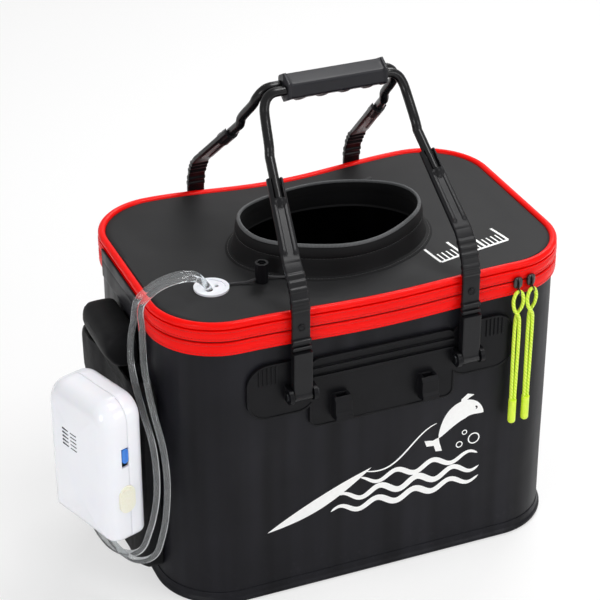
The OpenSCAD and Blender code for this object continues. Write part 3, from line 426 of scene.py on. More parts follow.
tape_low = round_bucket("zip_tape_low", mouth,
    [(-6.1, 284.85), (-3.1, 284.85), (-2.4, 284.95), (-2.4, 285.2), (-3.1, 285.4), (-6.1, 285.4)], zip_weave)
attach(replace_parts(tape_low, "zip_tape_bucket"), "bucket")
teeth = spaced([(x, y, 285.6 - rim_drop(x, y)) for x, y, nx, ny in mouth], 1.5, closed=True)
teeth = [(p + out * -2.1, out) for p, d in teeth for out in [Vector((d.y, -d.x, 0)).normalized()]]
coil_low = capsules("zip_coil_low", [(p + Vector((0, 0, -0.12)), d) for p, d in teeth[::2]], 1.6, 1.0,
    zip_coil)
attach(coil_low, "bucket")


# Side plates and pins
# Two injection-moulded polypropylene plates, riveted through the walls, carry the handles on steel pins
# and have two sockets each for rod rests.

def dress(finish, *names):
    """Gives CAD pieces a finish of the studio's own."""
    for name in names:
        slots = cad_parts[name].data.materials
        slots.clear()
        slots.append(finish)


# Moulded polypropylene: black with a spark-eroded grain of 0.6 mm, satin, its tone varying a little at
# random, edges rounded by the mould.
moulded_pp, tree, shader = material("spark_grained_polypropylene", "#0b0b0d", Roughness=0.34, IOR=1.49,
    Specular_IOR_Level=0.14)
place = add(tree, "TexCoord")
flow = add(tree, "TexNoise", {"Vector": place.outputs["Object"], "Scale": 1 / 0.018, "Detail": 3})
tint = add(tree, "Mix", {0: flow.outputs[0], 6: linear("#0b0b0d"), 7: linear("#141417")}, data_type="RGBA")
tree.links.new(tint.outputs[2], shader.inputs["Base Color"])
gleam = add(tree, "MapRange", {0: flow.outputs[0], 3: 0.28, 4: 0.42})
tree.links.new(gleam.outputs[0], shader.inputs["Roughness"])
soft_edge = add(tree, "Bevel", {"Radius": 0.0006}, samples=4)
grain = add(tree, "TexNoise", {"Vector": place.outputs["Object"], "Scale": 1 / 0.0006, "Detail": 2})
relief = add(tree, "Bump", {"Height": grain.outputs[0], "Distance": 0.00004, "Strength": 0.6,
    "Normal": soft_edge.outputs[0]})
tree.links.new(relief.outputs[0], shader.inputs["Normal"])
dress(moulded_pp, "front_plate", "back_plate")

# Turned and blackened steel: dark grey with the lathe's rings, drawn at 0.6 mm.
turned_steel, tree, shader = material("blackened_turned_steel", "#4a4b4e", Metallic=1.0, Roughness=0.3)
place = add(tree, "TexCoord")
rings_cut = add(tree, "TexNoise", {"Vector": place.outputs["Object"], "Scale": 1 / 0.0006, "Detail": 1})
tone = add(tree, "MapRange", {0: rings_cut.outputs[0], 3: 0.22, 4: 0.4})
tree.links.new(tone.outputs[0], shader.inputs["Roughness"])
soft_edge = add(tree, "Bevel", {"Radius": 0.0003}, samples=4)
tree.links.new(soft_edge.outputs[0], shader.inputs["Normal"])
dress(turned_steel, "front_pins", "back_pins", "pump_screws", "cord_lock_spring")


# Side pocket
# A pouch of coated black cloth with a lining, sewn flat to the left wall, open along its top under a
# padded block. Its face sags and creases between the seams.

# Coated nylon pocket cloth: black, plain woven at about 0.7 mm, with a soft sheen where it curves.
pocket_cloth, tree, shader = material("coated_nylon_pocket_cloth", "#0b0b0c", Roughness=0.62,
    Sheen_Weight=0.03, Sheen_Roughness=0.5, Specular_IOR_Level=0.12)
place = add(tree, "TexCoord")
warp = add(tree, "TexWave", {"Vector": place.outputs["UV"], "Scale": 1 / 0.0022}, bands_direction="X")
weft = add(tree, "TexWave", {"Vector": place.outputs["UV"], "Scale": 1 / 0.0022}, bands_direction="Y")
weave = add(tree, "Math", {0: warp.outputs[0], 1: weft.outputs[0]}, operation="MULTIPLY")
fade = add(tree, "TexNoise", {"Vector": place.outputs["Object"], "Scale": 1 / 0.035, "Detail": 4})
base = add(tree, "Mix", {0: fade.outputs[0], 6: linear("#08080a"), 7: linear("#131315")}, data_type="RGBA")
yarn = add(tree, "Mix", {0: weave.outputs[0], 6: base.outputs[2], 7: linear("#1a1a1c")}, data_type="RGBA")
tree.links.new(yarn.outputs[2], shader.inputs["Base Color"])
crease = add(tree, "TexNoise", {"Vector": place.outputs["Object"], "Scale": 1 / 0.02, "Detail": 3})
folds = add(tree, "Bump", {"Height": crease.outputs[0], "Distance": 0.0018, "Strength": 0.6})
relief = add(tree, "Bump", {"Height": weave.outputs[0], "Distance": 0.00008, "Strength": 0.7,
    "Normal": folds.outputs[0]})
tree.links.new(relief.outputs[0], shader.inputs["Normal"])

pocket_low, pocket_high, pocket_middle, pocket_half = 18, 220, -3, 73


def pocket_ring(z, inset, sag=1.0):
    """One level of the pouch: its flat back on the wall, its face bellied between the side seams."""
    edge = min(z - pocket_low, pocket_high - z, 16)
    half = pocket_half - 16 + math.sqrt(max(0, 256 - (16 - edge) ** 2)) - inset
    points = []
    for k in range(49):
        t = -1 + k / 24
        y = pocket_middle + half * t
        fall = (abs(t) ** 10) * 7
        belly = 1.6 * (1 - t * t) * math.sin(math.pi * ease((z - 18) / 202)) - 1.4
        gape = 9.5 * ease((z - 110) / 90) * ease((y + 15) / 55)
        wrinkle = 1.1 * noise.noise((y / 22, z / 30, 3)) + 0.6 * noise.noise((y / 9, z / 11, 7))
        points.append((-218.4 - (belly + gape) * sag + wrinkle * sag + fall + inset, y, z))
    points += [(-197.2 - inset * 0.2, pocket_middle + half * t, z) for t in (1, 0.6, 0.2, -0.2, -0.6, -1)]
    return points


levels = [18.6, 19.5, 21, 24, 28, 34] + list(range(42, 200, 8)) + [204, 208, 212, 216, 218.6, 219.6]
rings = [pocket_ring(z, 2.5 if z < 19 else 0.8 if z < 20 else 0) for z in levels]
rings += [pocket_ring(219.8, 1.2), pocket_ring(219, 2.2), pocket_ring(214, 2.4), pocket_ring(190, 2.6),
    pocket_ring(150, 3)]
pouch = skin("pocket_pouch", rings, pocket_cloth, capped=True)
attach(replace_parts(pouch, "pocket"), "bucket")
hem = [(-219.4, pocket_middle + 57 * t, 212 + 0.4 * math.sin(9 * t))
    for t in [-1 + k / 20 for k in range(41)]]

# Black bonded thread, seen as short dull dashes.
black_thread, tree, shader = material("black_polyester_thread", "#1e1e20", Roughness=0.6, Sheen_Weight=0.3)
place = add(tree, "TexCoord")
twist = add(tree, "TexWave", {"Vector": place.outputs["Object"], "Scale": 1 / 0.0012, "Distortion": 2})
strand = add(tree, "Mix", {0: twist.outputs[0], 6: linear("#121213"), 7: linear("#2a2a2c")}, data_type="RGBA")
tree.links.new(strand.outputs[2], shader.inputs["Base Color"])


# Padded block above the pocket
# A foam pad in the same cloth, filled until its faces crown, which keeps the hoses and the pump's clip
# off the wall.

def plump(piece, most):
    """Swells a closed piece as a filled pad: cloth under light pressure, no point moving more than most."""
    remesh = piece.modifiers.new("even", "REMESH")
    remesh.mode = "VOXEL"
    remesh.voxel_size = 0.004
    bpy.context.view_layer.update()
    even = bpy.data.meshes.new_from_object(piece.evaluated_get(bpy.context.evaluated_depsgraph_get()))
    piece.modifiers.clear()
    even.materials.clear()
    even.materials.append(piece.data.materials[0])
    piece.data = even
    cloth = piece.modifiers.new("fill", "CLOTH")
    cloth.settings.use_pressure = True
    cloth.settings.uniform_pressure_force = 4
    cloth.settings.effector_weights.gravity = 0
    cloth.settings.quality = 4
    cloth.point_cache.frame_start, cloth.point_cache.frame_end = 1, 20
    for step in range(1, 21):
        scene.frame_set(step)
    filled = piece.evaluated_get(bpy.context.evaluated_depsgraph_get()).to_mesh()
    moved = []
    for before, after in zip(piece.data.vertices, filled.vertices):
        way = after.co - before.co
        moved.append(before.co + way * min(1, most * MM / max(way.length, 1e-9)))
    piece.modifiers.clear()
    for vertex, co in zip(piece.data.vertices, moved):
        vertex.co = co
    scene.frame_set(1)
    smooth = bmesh.new()
    smooth.from_mesh(piece.data)
    for _ in range(3):
        bmesh.ops.smooth_vert(smooth, verts=smooth.verts, factor=0.5, use_axis_x=True, use_axis_y=True,
            use_axis_z=True)
    smooth.to_mesh(piece.data)
    smooth.free()
    piece.data.polygons.foreach_set("use_smooth", [True] * len(piece.data.polygons))
    return piece


# The pad's cloth: the pocket's nylon stretched over foam, so it is smoother and catches more light.
pad_cloth, tree, shader = material("nylon_over_foam", "#0c0c0d", Roughness=0.58, Sheen_Weight=0.04,
    Sheen_Roughness=0.45, Specular_IOR_Level=0.14)
place = add(tree, "TexCoord")
knit = add(tree, "TexVoronoi", {"Vector": place.outputs["Object"], "Scale": 1 / 0.0008})
fade = add(tree, "TexNoise", {"Vector": place.outputs["Object"], "Scale": 1 / 0.02, "Detail": 3})
base = add(tree, "Mix", {0: fade.outputs[0], 6: linear("#0b0b0c"), 7: linear("#171719")}, data_type="RGBA")
tree.links.new(base.outputs[2], shader.inputs["Base Color"])
folds = add(tree, "Bump", {"Height": fade.outputs[0], "Distance": 0.001, "Strength": 0.5})
relief = add(tree, "Bump", {"Height": knit.outputs["Distance"], "Distance": 0.00006, "Strength": 0.7,
    "Normal": folds.outputs[0]})
tree.links.new(relief.outputs[0], shader.inputs["Normal"])


def squared_oval(x, y, half_x, half_y, power, count):
    """Points round a level shape between an oval, at power 1, and a rectangle, at power 0."""
    found = []
    for k in range(count):
        turn = 2 * math.pi * k / count
        c, s = math.cos(turn), math.sin(turn)
        found.append((x + half_x * math.copysign(abs(c) ** power, c),
            y + half_y * math.copysign(abs(s) ** power, s)))
    return found


def shares(count):
    """Even steps from 0 to 1."""
    return [k / count for k in range(count + 1)]


pad_rings = []
for z, depth, half in ((221, 18, 33), (223, 23, 36), (228, 28, 37.2), (236, 33.5, 37.6), (243, 35, 37.8),
        (250, 34.5, 37.6), (254.5, 32.5, 37), (257, 29.5, 36), (258, 25, 34.5)):
    pad_rings.append([(x, y, z) for x, y in squared_oval(-197.4 - depth / 2, 1, depth / 2, half, 0.3, 40)])
pad = plump(skin("pocket_pad", pad_rings, pad_cloth, capped=True), 1.6)
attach(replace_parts(pad, "pocket_top"), "bucket")
seam = []
for t in shares(40):
    c = math.cos(math.pi * t)
    seam.append((-198.5 - 33.6 * math.sin(math.pi * t), 1 + 36.8 * math.copysign(abs(c) ** 0.6, c), 248.5))


# Webbing loop
# A 20 mm polyester webbing sewn to the pocket's face as a loop, into which the pump's clip drops.

# Flat polyester webbing: black, ribbed across every 1.5 mm, its warp threads catching light.
webbing, tree, shader = material("ribbed_polyester_webbing", "#111113", Roughness=0.7, Sheen_Weight=0.1)
place = add(tree, "TexCoord")
ribs = add(tree, "TexWave", {"Vector": place.outputs["Object"], "Scale": 1 / 0.0047, "Distortion": 0},
    bands_direction="Z")
yarn = add(tree, "Mix", {0: ribs.outputs[0], 6: linear("#0b0b0c"), 7: linear("#1d1d20")}, data_type="RGBA")
tree.links.new(yarn.outputs[2], shader.inputs["Base Color"])
relief = add(tree, "Bump", {"Height": ribs.outputs[0], "Distance": 0.0003, "Strength": 0.8})
tree.links.new(relief.outputs[0], shader.inputs["Normal"])

loop_line = [(-219.4, -31.6), (-219.6, -33), (-221.2, -34.6), (-223, -36), (-223.3, -40), (-223.3, -53),
    (-223.3, -66), (-223, -70), (-221.2, -71.4), (-219.6, -73), (-219.4, -74.4)]
rings = []
for i, (x, y) in enumerate(loop_line):
    before, after = loop_line[max(0, i - 1)], loop_line[min(len(loop_line) - 1, i + 1)]
    way = Vector((after[0] - before[0], after[1] - before[1])).normalized()
    nx, ny = -way.y, way.x
    rings.append([(x + nx * 0.8 * s, y + ny * 0.8 * s, z) for s,
        z in ((-1, 168.4), (-1, 187.6), (-0.4, 188), (0.4, 188), (1, 187.6), (1, 168.4), (0.4, 168),
        (-0.4, 168))])
loop = skin("webbing_loop", rings, webbing, capped=True)
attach(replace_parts(loop, "pocket_loop"), "bucket")
boxes = []
for y in (-33.4, -72.6):
    boxes += spaced([(-220.6, y, z) for z in (169.5, 186.5)], 2.6)
seams = capsules("pocket_stitches", spaced(hem, 3) + spaced(seam, 3) + boxes, 2.1, 0.5, black_thread)
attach(seams, "bucket")


# Air pump
# A clip-on aquarium pump: two glossy white ABS half shells screwed together from behind, round a board,
# a coil, a rubber bellows and a cell. Two nozzles point down; a blue slide switch sits on its side.

# Glossy moulded ABS: cool white, mirror-polished mould, with sink marks some 40 mm across.
white_shell, tree, shader = material("polished_white_abs", "#f4f5fb", Roughness=0.18, IOR=1.54,
    Coat_Weight=0.2, Coat_Roughness=0.05, Subsurface_Weight=0.05, Subsurface_Scale=0.002)
place = add(tree, "TexCoord")
tone = add(tree, "TexNoise", {"Vector": place.outputs["Object"], "Scale": 1 / 0.04, "Detail": 2})
base = add(tree, "Mix", {0: tone.outputs[0], 6: linear("#f0f1fa"), 7: linear("#f8f9fc")}, data_type="RGBA")
tree.links.new(base.outputs[2], shader.inputs["Base Color"])
haze = add(tree, "TexNoise", {"Vector": place.outputs["Object"], "Scale": 1 / 0.006, "Detail": 5})
gleam = add(tree, "MapRange", {0: haze.outputs[0], 3: 0.13, 4: 0.26})
tree.links.new(gleam.outputs[0], shader.inputs["Roughness"])
soft_edge = add(tree, "Bevel", {"Radius": 0.0005}, samples=4)
relief = add(tree, "Bump", {"Height": tone.outputs[0], "Distance": 0.0004, "Strength": 0.4,
    "Normal": soft_edge.outputs[0]})
tree.links.new(relief.outputs[0], shader.inputs["Normal"])
dress(white_shell, "pump_clip", "pump_nozzles", "hose_grommet", "grommet_nut")

# Moulded slide switch: clear blue polypropylene, deeper blue where it is thick.
blue_knob, tree, shader = material("moulded_blue_polypropylene", "#2f7fe6", Roughness=0.25, IOR=1.49,
    Subsurface_Weight=0.1, Subsurface_Scale=0.002)
place = add(tree, "TexCoord")
tone = add(tree, "TexNoise", {"Vector": place.outputs["Object"], "Scale": 1 / 0.006, "Detail": 2})
base = add(tree, "Mix", {0: tone.outputs[0], 6: linear("#1259c9"), 7: linear("#4fa3f7")}, data_type="RGBA")
tree.links.new(base.outputs[2], shader.inputs["Base Color"])
soft_edge = add(tree, "Bevel", {"Radius": 0.0006}, samples=4)
tree.links.new(soft_edge.outputs[0], shader.inputs["Normal"])
dress(blue_knob, "pump_switch")

# Socket cover: cream silicone, dusty matt.
cream_silicone, tree, shader = material("cream_silicone", "#f4f2e0", Roughness=0.55, Subsurface_Weight=0.1,
    Subsurface_Scale=0.002)
place = add(tree, "TexCoord")
dust = add(tree, "TexNoise", {"Vector": place.outputs["Object"], "Scale": 1 / 0.002, "Detail": 4})
base = add(tree, "Mix", {0: dust.outputs[0], 6: linear("#f0edd4"), 7: linear("#f9f8ec")}, data_type="RGBA")
tree.links.new(base.outputs[2], shader.inputs["Base Color"])
soft_edge = add(tree, "Bevel", {"Radius": 0.0008}, samples=4)
tree.links.new(soft_edge.outputs[0], shader.inputs["Normal"])
dress(cream_silicone, "socket_cover")

# Inside the case: fibreglass board under green solder mask, enamelled copper, ribbed rubber, sleeved cell.
solder_mask, tree, shader = material("green_solder_mask", "#2d6b45", Roughness=0.35, Coat_Weight=0.3)
place = add(tree, "TexCoord")
tracks = add(tree, "TexBrick", {"Vector": place.outputs["Object"], "Color1": linear("#2d6b45"),
    "Color2": linear("#25593a"), "Mortar": linear("#4d8a5f"), "Scale": 1 / 0.012})
tree.links.new(tracks.outputs[0], shader.inputs["Base Color"])
dress(solder_mask, "pump_board")
wound_copper, tree, shader = material("enamelled_copper_wire", "#b5713a", Metallic=0.9, Roughness=0.35)
place = add(tree, "TexCoord")
turns = add(tree, "TexWave", {"Vector": place.outputs["Object"], "Scale": 1 / 0.0016}, bands_direction="Z")
base = add(tree, "Mix", {0: turns.outputs[0], 6: linear("#8c5024"), 7: linear("#c9834a")}, data_type="RGBA")
tree.links.new(base.outputs[2], shader.inputs["Base Color"])
dress(wound_copper, "pump_motor")
ribbed_rubber, tree, shader = material("moulded_nitrile_rubber", "#202022", Roughness=0.6)
place = add(tree, "TexCoord")
bloom = add(tree, "TexNoise", {"Vector": place.outputs["Object"], "Scale": 1 / 0.004, "Detail": 4})
base = add(tree, "Mix", {0: bloom.outputs[0], 6: linear("#19191b"), 7: linear("#2a2a2d")}, data_type="RGBA")
tree.links.new(base.outputs[2], shader.inputs["Base Color"])
dress(ribbed_rubber, "pump_bellows")
cell_sleeve, tree, shader = material("shrunk_pvc_sleeve", "#6d7f8f", Roughness=0.3)
place = add(tree, "TexCoord")
wrap = add(tree, "TexNoise", {"Vector": place.outputs["Object"], "Scale": 1 / 0.01, "Detail": 3})
base = add(tree, "Mix", {0: wrap.outputs[0], 6: linear("#5f7080"), 7: linear("#7a8b9a")}, data_type="RGBA")
tree.links.new(base.outputs[2], shader.inputs["Base Color"])
dress(cell_sleeve, "pump_battery")

pump_turn = math.radians(19)
case_depth, off_band = 42, 19.3
pump_corner = Vector((-200 - off_band - case_depth * math.cos(pump_turn), -116, 93))


def pump_point(depth, across, up):
    """A point given in the pump's own frame, on the bucket."""
    c, s = math.cos(pump_turn), math.sin(pump_turn)
    return pump_corner + Vector((depth * c - across * s, depth * s + across * c, up))


def case_ring(depth, inset):
    """One outline of the pump's case at a depth: crisp corners below, full round ones above."""
    left, right, low, high = -0.8 + inset, 90 - inset, -4.5 + inset, 141 - inset
    found = []
    for cx, cz, radius, first in ((right, low, 9, -90), (right, high, 27, 0), (left, high, 21, 90),
            (left, low, 8, 180)):
        r = max(1.5, radius - inset)
        x, z = cx + math.copysign(r, 40 - cx), cz + math.copysign(r, 70 - cz)
        for k in range(14):
            turn = math.radians(first + 90 * k / 13)
            found.append(pump_point(depth, x + r * math.cos(turn), z + r * math.sin(turn)))
    return found


def case_half(name, split, front, edge, crown):
    """A hollow half of the case, from the split plane to its face, with a round edge and a crowned face."""
    way = 1 if front > split else -1
    rings = []
    case_wall = 2.2
    for wall in (case_wall, 0):
        line = [(split, wall + 0.35), (split + way * 0.3, wall + 0.05), (split + way * 1.5, wall)]
        for k in range(9):
            turn = math.radians(90 * k / 8)
            line.append((front - way * (edge - (edge - wall) * math.sin(turn)),
                edge - (edge - wall) * math.cos(turn)))
        middle = 42
        for inset in (edge + 5, edge + 11, edge + 17, 38, middle):
            swell = crown * math.sin(math.pi / 2 * (inset - edge) / (middle - edge))
            line.append((front - way * wall + way * swell, inset))
        rings += [case_ring(d, i) for d, i in (reversed(line) if wall else line)]
    return skin(name, rings, white_shell, capped=True, sharp=50)


def cut(piece, cutters):
    """Cuts closed shapes out of a piece and clears the cutters away."""
    for cutter in cutters:
        step = piece.modifiers.new("cut", "BOOLEAN")
        step.operation, step.object = "DIFFERENCE", cutter
    whole = bpy.data.meshes.new_from_object(piece.evaluated_get(bpy.context.evaluated_depsgraph_get()))
    whole.set_sharp_from_angle(angle=math.radians(50))
    piece.modifiers.clear()
    piece.data = whole
    for cutter in cutters:
        bpy.data.objects.remove(cutter)
    return piece


def pump_peg(a, b, across, tall, sides=24):
    """A cutter from point a to point b in the pump's frame: an oval, or a slot where sides is 4."""
    start, end = pump_point(*a), pump_point(*b)
    way = (end - start).normalized()
    up = Vector((0, 0, 1)) if abs(way.z) < 0.5 else pump_point(0, 1, 0) - pump_point(0, 0, 0)
    side = way.cross(up)
    rings = []
    turns = [math.radians(45 * (sides == 4) + 360 * k / sides) for k in range(sides)]
    for p in (start, end):
        rings.append([p + side * across / 2 * math.cos(t) + up * tall / 2 * math.sin(t) for t in turns])
    return skin("cutter", rings, white_shell, capped=True)


front_half = case_half("pump_case_front", 23.9, -1.5, 17, 1.6)
back_half = case_half("pump_case_back", 24.1, 41.9, 9, 0)
root = math.sqrt(2)
cut(front_half, [pump_peg((20, -4, 86), (20, 6, 86), 7.6 * root, 20 * root, 4)]
    + [pump_peg((19, y, -8), (19, y, 4), 8.8, 8.8) for y in (50, 30)])
cut(back_half, [pump_peg((30, y, z), (50, y, z), 6.2, 6.2) for y in (13, 67) for z in (13, 127)])
for half, node in ((front_half, "pump_front_case"), (back_half, "pump_back_case")):
    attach(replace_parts(half, node), "bucket")

# Sound slots let the motor breathe through the broad face: two rows of slits, drawn as capsules whose dark
# grey is painted shade for the open slits' insides.
slot_shade_paint, tree, shader = material("painted_slot_shade", "#4a4c52", Roughness=0.7)
place = add(tree, "TexCoord")
# The painted slot shade is mottled at random between two dark greys.
depth = add(tree, "TexNoise", {"Vector": place.outputs["Object"], "Scale": 1 / 0.003, "Detail": 2})
base = add(tree, "Mix", {0: depth.outputs[0], 6: linear("#25272c"), 7: linear("#4a4c53")}, data_type="RGBA")
tree.links.new(base.outputs[2], shader.inputs["Base Color"])
level = pump_point(0, 1, 0) - pump_point(0, 0, 0)
slits = [(pump_point(-2.45, y, z), level) for y in (44, 56) for z in (82, 86, 90, 94, 98)]
slots = capsules("pump_sound_slots", slits, 10, 1.9, slot_shade_paint)
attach(slots, "bucket")


# Air hoses
# Two 6 mm silicone-soft vinyl tubes, pushed on the nozzles. They loop under the pump, climb beside the
# pocket, cross, and drop over the rim into the grommet.

def flowing(points, steps=6):
    """A smooth line through the points."""
    points = [Vector(p) for p in points]
    ends = [2 * points[0] - points[1]] + points + [2 * points[-1] - points[-2]]
    line = []
    for a, b, c, d in zip(ends, ends[1:], ends[2:], ends[3:]):
        for i in range(steps):
            t = i / steps
            bow, twist = 2 * a - 5 * b + 4 * c - d, 3 * b - a - 3 * c + d
            line.append(0.5 * (2 * b + (c - a) * t + bow * t * t + twist * t ** 3))
    return line + [points[-1]]


def tube(name, line, thick, finish, sides=14):
    """A round tube along a line; thick is its diameter."""
    turns = [(math.cos(2 * math.pi * k / sides), math.sin(2 * math.pi * k / sides)) for k in range(sides)]
    rings, side = [], None
    for i, p in enumerate(line):
        way = (line[min(i + 1, len(line) - 1)] - line[max(i - 1, 0)]).normalized()
        side = way.orthogonal() if side is None else side - way * side.dot(way)
        side.normalize()
        other = way.cross(side)
        rings.append([p + (side * c + other * s) * thick / 2 for c, s in turns])
    return skin(name, rings, finish, capped=True)


# Plasticised vinyl tube: milky clear, its wall frosted a little, brighter along its edges.
vinyl_tube, tree, shader = material("milky_vinyl_tube", "#dde2e5", Roughness=0.12, IOR=1.22,
    Transmission_Weight=0.93, Coat_Weight=0.35, Coat_Roughness=0.06)
place = add(tree, "TexCoord")
cloud = add(tree, "TexNoise", {"Vector": place.outputs["Object"], "Scale": 1 / 0.012, "Detail": 3})
base = add(tree, "Mix", {0: cloud.outputs[0], 6: linear("#e2e7ea"), 7: linear("#fbfcfc")}, data_type="RGBA")
tree.links.new(base.outputs[2], shader.inputs["Base Color"])
draw = add(tree, "TexNoise", {"Vector": place.outputs["UV"], "Scale": 1 / 0.004, "Detail": 1})
relief = add(tree, "Bump", {"Height": draw.outputs[0], "Distance": 0.0002, "Strength": 0.4})
tree.links.new(relief.outputs[0], shader.inputs["Normal"])

hose_tilt = math.radians(25)


def grommet_hole(side, up):
    """A point on the axis of a hose hole in the grommet."""
    return (-141 - up * math.sin(hose_tilt), -60 + side * 4.2, 304 + up * math.cos(hose_tilt))


hose_routes = {
    "left": [pump_point(19, 50, -10.1), pump_point(19, 50, -14), (-253, -64.5, 68), (-246.5, -71.5, 58.5),
    (-238, -81, 55),
        (-229, -91, 58.5), (-223, -98, 68), (-219, -102.5, 84), (-215, -107, 105), (-212, -110, 130),
        (-211, -109, 155),
        (-211, -101, 180), (-213, -86, 203), (-214, -69, 223), (-213, -54, 243), (-210, -48, 262),
        (-207.5, -51, 281),
        (-207, -55, 296), (-203.5, -56, 304.5), (-196, -56.5, 311.5), (-187, -56.5, 316.5),
        (-175, -56, 319.5), (-163, -56, 320),
        (-151.5, -56, 317), grommet_hole(1, 5), grommet_hole(1, -5)],
    "right": [pump_point(19, 30, -10.1), pump_point(19, 30, -14), (-246.5, -83, 68.5), (-239.5, -90, 60),
    (-230.5, -98.5, 56),
        (-221, -106.5, 60), (-214.5, -111.5, 69), (-210.5, -114, 84), (-207, -116.5, 105),
        (-204.5, -117, 130), (-203.5, -115, 155),
        (-204, -108, 180), (-206, -95, 204), (-207, -84, 224), (-207, -74, 244), (-206, -69, 264),
        (-205.5, -67, 281),
        (-206, -66.5, 296), (-203.5, -66, 304.5), (-196, -65.5, 311), (-187, -65, 316), (-175, -64.5, 319),
        (-163, -64.5, 319.5),
        (-151.5, -64, 316.5), grommet_hole(-1, 5), grommet_hole(-1, -5)]}
for side, length in (("left", 0.408), ("right", 0.393)):
    line = flowing(hose_routes[side])
    hose = tube("air_hose_" + side, line, 6, vinyl_tube)
    path = [p * MM for p in line]
    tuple(path[0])
    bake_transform(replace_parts(hose, "hose_" + side))


# Lid sheet
# One 3 mm sheet of matt grey-black foam, cut out for the collar and the grommet. It lies slack between
# the piping and the collar, following the sunken rim.

def lid_level(x, y):
    """Height of the lid's upper face. It is level where the grommet and the cord lock press on it."""
    held = max(math.exp(-((x + 137) ** 2 + (y + 60) ** 2) / 900),
        math.exp(-((x + 91) ** 2 + (y + 65) ** 2) / 500))
    slack = 1.1 * noise.noise((x / 75, y / 60, 5)) + 0.5 * noise.noise((x / 28, y / 28, 9))
    edge = ease((186 - abs(x)) / 25) * ease((116 - abs(y)) / 20)
    return 302 - rim_drop(x, y) + (slack - 0.7) * (1 - held) * edge


# Matt foam sheet: dark grey with a leather-like emboss of about 1.1 mm, lighter where hands have rubbed it.
matt_foam, tree, shader = material("embossed_matt_foam", "#212122", Roughness=0.6, IOR=1.48,
    Specular_IOR_Level=0.18)
place = add(tree, "TexCoord")
rubbed = add(tree, "TexNoise", {"Vector": place.outputs["Object"], "Scale": 1 / 0.06, "Detail": 4})
tint = add(tree, "Mix", {0: rubbed.outputs[0], 6: linear("#1a1a1b"), 7: linear("#2d2d2e")}, data_type="RGBA")
tree.links.new(tint.outputs[2], shader.inputs["Base Color"])
dull = add(tree, "MapRange", {0: rubbed.outputs[0], 3: 0.52, 4: 0.68})
tree.links.new(dull.outputs[0], shader.inputs["Roughness"])
emboss = add(tree, "TexVoronoi", {"Vector": place.outputs["Object"], "Scale": 1 / 0.0011},
    feature="SMOOTH_F1")
relief = add(tree, "Bump", {"Height": emboss.outputs["Distance"], "Distance": 0.00008, "Strength": 0.7})
tree.links.new(relief.outputs[0], shader.inputs["Normal"])

collar_x, collar_y = -3, -13
lid_edge = inside(7.1)


def toward_collar(x, y, t):
    """A point of the lid between its edge and the collar's oval foot."""
    a = math.atan2((y - collar_y) / 65.6, (x - collar_x) / 91.6)
    return x + (collar_x + 91.6 * math.cos(a) - x) * t, y + (collar_y + 65.6 * math.sin(a) - y) * t


lid_thick = 2.4
top = []
for t in [0, 0.015, 0.05] + [k / 22 for k in range(2, 22)] + [0.985, 1]:
    level = [toward_collar(x, y, t) for x, y, nx, ny in lid_edge]
    top.append([(x, y, lid_level(x, y) - (lid_thick / 2 if t == 0 else 0)) for x, y in level])
under = [[(x, y, z - lid_thick) for x, y, z in ring] for ring in reversed(top)]
lid = skin("lid_sheet_foam", top + under, matt_foam, joined=True)
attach(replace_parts(lid, "lid_sheet"), "lid")


# Red band and piping of the lid
# The same red PVC: a strip down to the zip, and a rolled piping of 7 mm over a cord, which hides the
# edge of the sheet. Both sink with the rim.

high_band = [(-3, 286.4), (-1, 286.4), (-0.4, 286.6), (0, 287.2), (0.1, 287.9), (-0.12, 288.5), (-0.12, 289),
    (0.15, 289.7), (0.35, 292),
    (0.2, 294.2), (-0.08, 294.9), (-0.08, 295.4), (0, 296), (-0.2, 297), (-3, 297)]
lid_band = round_bucket("red_band_lid", mouth, high_band, pvc_band, sharp=50)
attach(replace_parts(lid_band, "lid_band"), "lid")
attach(band_stitches("band_stitches_lid", (288.75, 295.15)), "lid")
roll = [(-3.5 + 3.5 * math.cos(2 * math.pi * k / 20), 300.5 + 3.5 * math.sin(2 * math.pi * k / 20))
    for k in range(20)]
piping = round_bucket("rolled_piping", mouth, roll, pvc_band)
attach(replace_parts(piping, "lid_piping"), "lid")
tape_high = round_bucket("zip_tape_high", mouth,
    [(-6.1, 285.8), (-6.1, 286.4), (-4.1, 286.5), (-4.1, 296.6), (-3.15, 296.6), (-3.1, 286.3), (-2.4, 286.2),
    (-2.4, 285.95), (-3.1, 285.8)], zip_weave)
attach(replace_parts(tape_high, "zip_tape_lid"), "lid")
coil_high = capsules("zip_coil_high", [(p + Vector((0, 0, 0.12)), d) for p, d in teeth[1::2]], 1.6, 1.0,
    zip_coil)
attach(coil_high, "lid")


# Lid hinge
# On the left end a strip of the black foam is sewn over both bands instead of the zip, where the lid hinges.
# Here it is one fixed piece, pinched a little along its fold line.

fold_z, hinge_half = 285.6, 57
hinge_rings = []
for z in [268, 268.3, 269, 272, 276, 280, 283, 284.2, 285, fold_z, 286.2, 287, 288, 291, 294, 296,
        296.7, 297]:
    ends = 0.5 if z in (268, 297) else 0.15 if z in (268.3, 296.7) else 0
    pinch = 0.35 * math.exp(-((z - fold_z) / 1.5) ** 2)
    half = hinge_half - ends
    outside = [(-202.1 + ends + pinch + 0.15 * noise.noise((y / 15, z / 9, 1)), y, z)
        for y in [half * (-1 + k / 14) for k in range(29)]]
    inside = [(-200.15 - ends * 0.6, y, z) for y in [half * (1 - k / 14) for k in range(29)]]
    hinge_rings.append(outside + inside)
hinge = skin("lid_hinge_strip", hinge_rings, eva_sheet, capped=True)
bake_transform(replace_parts(hinge, "hinge_strip", "hinge_flap"))


# Hand collar
# A short sleeve of coated cloth sewn round the oval opening, with a drawcord channel under its edge and
# a woven grey binding on it. It stands by its own stiffness, not quite true.

